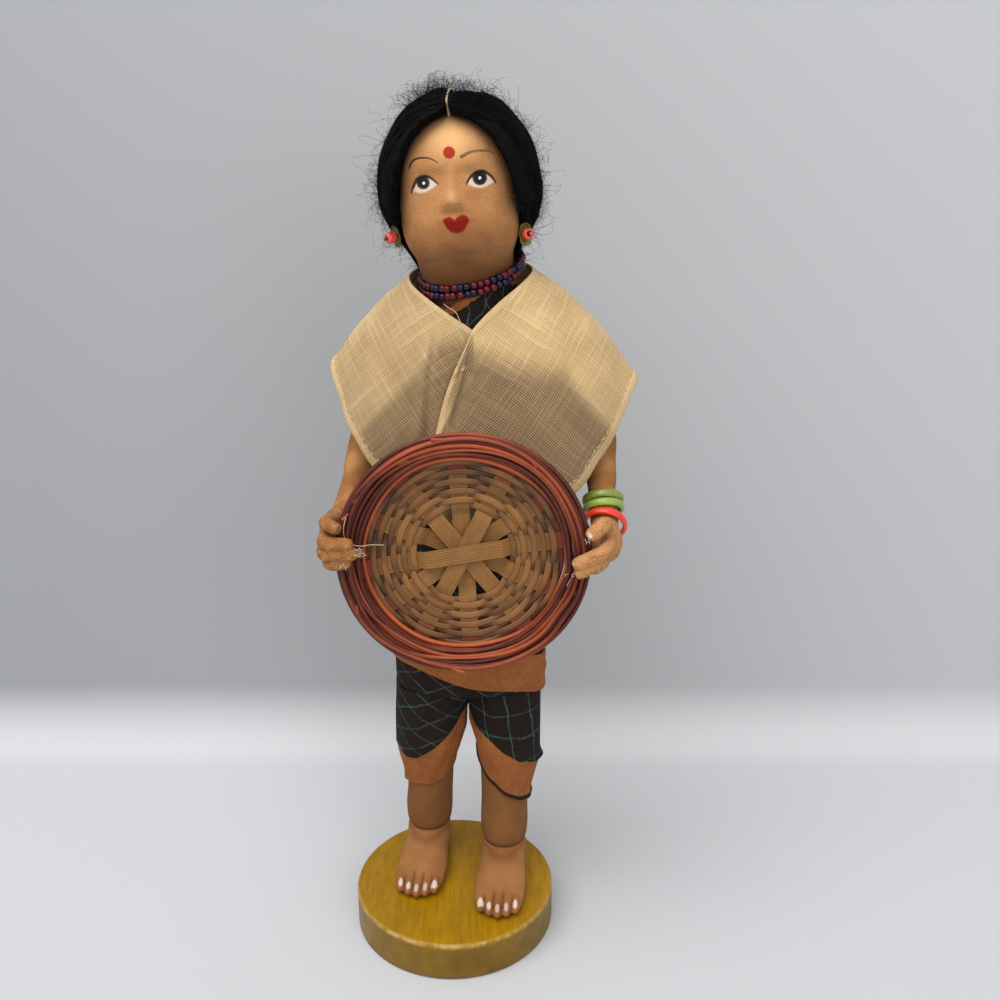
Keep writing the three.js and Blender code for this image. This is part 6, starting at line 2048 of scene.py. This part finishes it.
cover = calc(muslin, "MAXIMUM", *threads)
crossing = times(muslin, *threads)
slub = calc(muslin, "MAXIMUM", *slubs)
hemmed = attribute(muslin, "hemmed")
veiled = attribute(muslin, "veil")
patch = cloudy(muslin, flat, 0.07, 3, 0.5)
thread_tone = mixed(muslin, range_of(muslin, patch, 0.35, 0.7), (213, 180, 128), (190, 156, 105))
thread_tone = mixed(muslin, times(muslin, slub, 0.45), thread_tone, (240, 214, 168))
thread_tone = mixed(muslin, times(muslin, hemmed, 0.4), thread_tone, (228, 198, 148))
# Threads and the holes between them are painted darker where the dark clothes show through and shade falls. The holes
# are painted dark elsewhere too, for the shade seen through them.
dim = times(muslin, veiled, range_of(muslin, hemmed, 0, 1, 0.85, 0.35))
thread_tone = mixed(muslin, dim, thread_tone, (106, 76, 47))
hole = mixed(muslin, veiled, (116, 84, 46), (34, 25, 18))
hole = mixed(muslin, times(muslin, hemmed, 0.6), hole, (176, 138, 90))
cloth = mixed(muslin, range_of(muslin, cover, 0, 1, 0.25, 1.0), hole, thread_tone)
cloth = mixed(muslin, times(muslin, crossing, 0.35), cloth, (232, 204, 156))
wire(muslin, Base_Color=cloth, Roughness=range_of(muslin, cover, 0, 1, 0.9, 0.66))
raised(muslin, calc(muslin, "ADD", cover, crossing), 0.1, 0.6)

shawl = cloth_shell("muslin_shawl", outer, inner, flat_uv, muslin, closed=False, veil=veil, hemmed=doubled)
fit(shawl, "figure", "muslin", "shawl")
declare(outer)

hem_turns = np.linspace(start_turn[-1, 0] + 0.004, 1.01, 1200)
hem_share = np.full(1200, 0.943)
hem_line = off_shawl(hem_turns, hem_share, shawl_lift(hem_turns, hem_share) + 0.36)
hem_length = run_along(hem_line)
paths = []
at = 0.6
while at < hem_length[-1] - 2:
    long = draw.uniform(0.8, 1.4)
    spots_at = np.linspace(at, at + long, 6)
    stitch_turns = np.interp(spots_at, hem_length, hem_turns)
    stitch_share = 0.943 + draw.normal(0, 0.0025) + np.linspace(-0.5, 0.5, 6) * draw.normal(0, 0.008)
    arch = np.array([-0.2, 0.14, 0.18, 0.18, 0.14, -0.2])
    paths.append(off_shawl(stitch_turns, stitch_share, shawl_lift(stitch_turns, stitch_share) + 0.42 + arch))
    at += long + draw.uniform(1.0, 1.7)
fit(strands("hem_stitches", paths, 0.16, cream_thread, sides=5), "figure", "muslin")

paths = []
for k in range(4):
    stitch_turns = tack_turn + np.linspace(-0.008, 0.008, 9) + draw.normal(0, 0.001)
    stitch_share = tack_share + 0.006 * (k - 1.5) + np.linspace(-0.5, 0.5, 9) * draw.normal(0, 0.012)
    arch = 0.3 * np.sin(np.linspace(-0.4, math.pi + 0.4, 9))
    paths.append(off_shawl(stitch_turns, stitch_share, shawl_lift(stitch_turns, stitch_share) + 0.35 + arch))
fit(strands("tack_stitches", paths, 0.12, cream_thread, sides=5), "figure", "muslin")

curl = smooth_path([(-0.6, -1.4, 211.2), (1.2, -3.2, 210.2), (2.9, -3.9, 209.2), (4.0, -4.0, 207.0), (4.9, -3.6, 204.2),
                    (5.6, -2.6, 202.4)], 30)
fit(strands("loose_shawl_thread", [curl], 0.11, cream_thread, sides=6), "figure", "muslin")
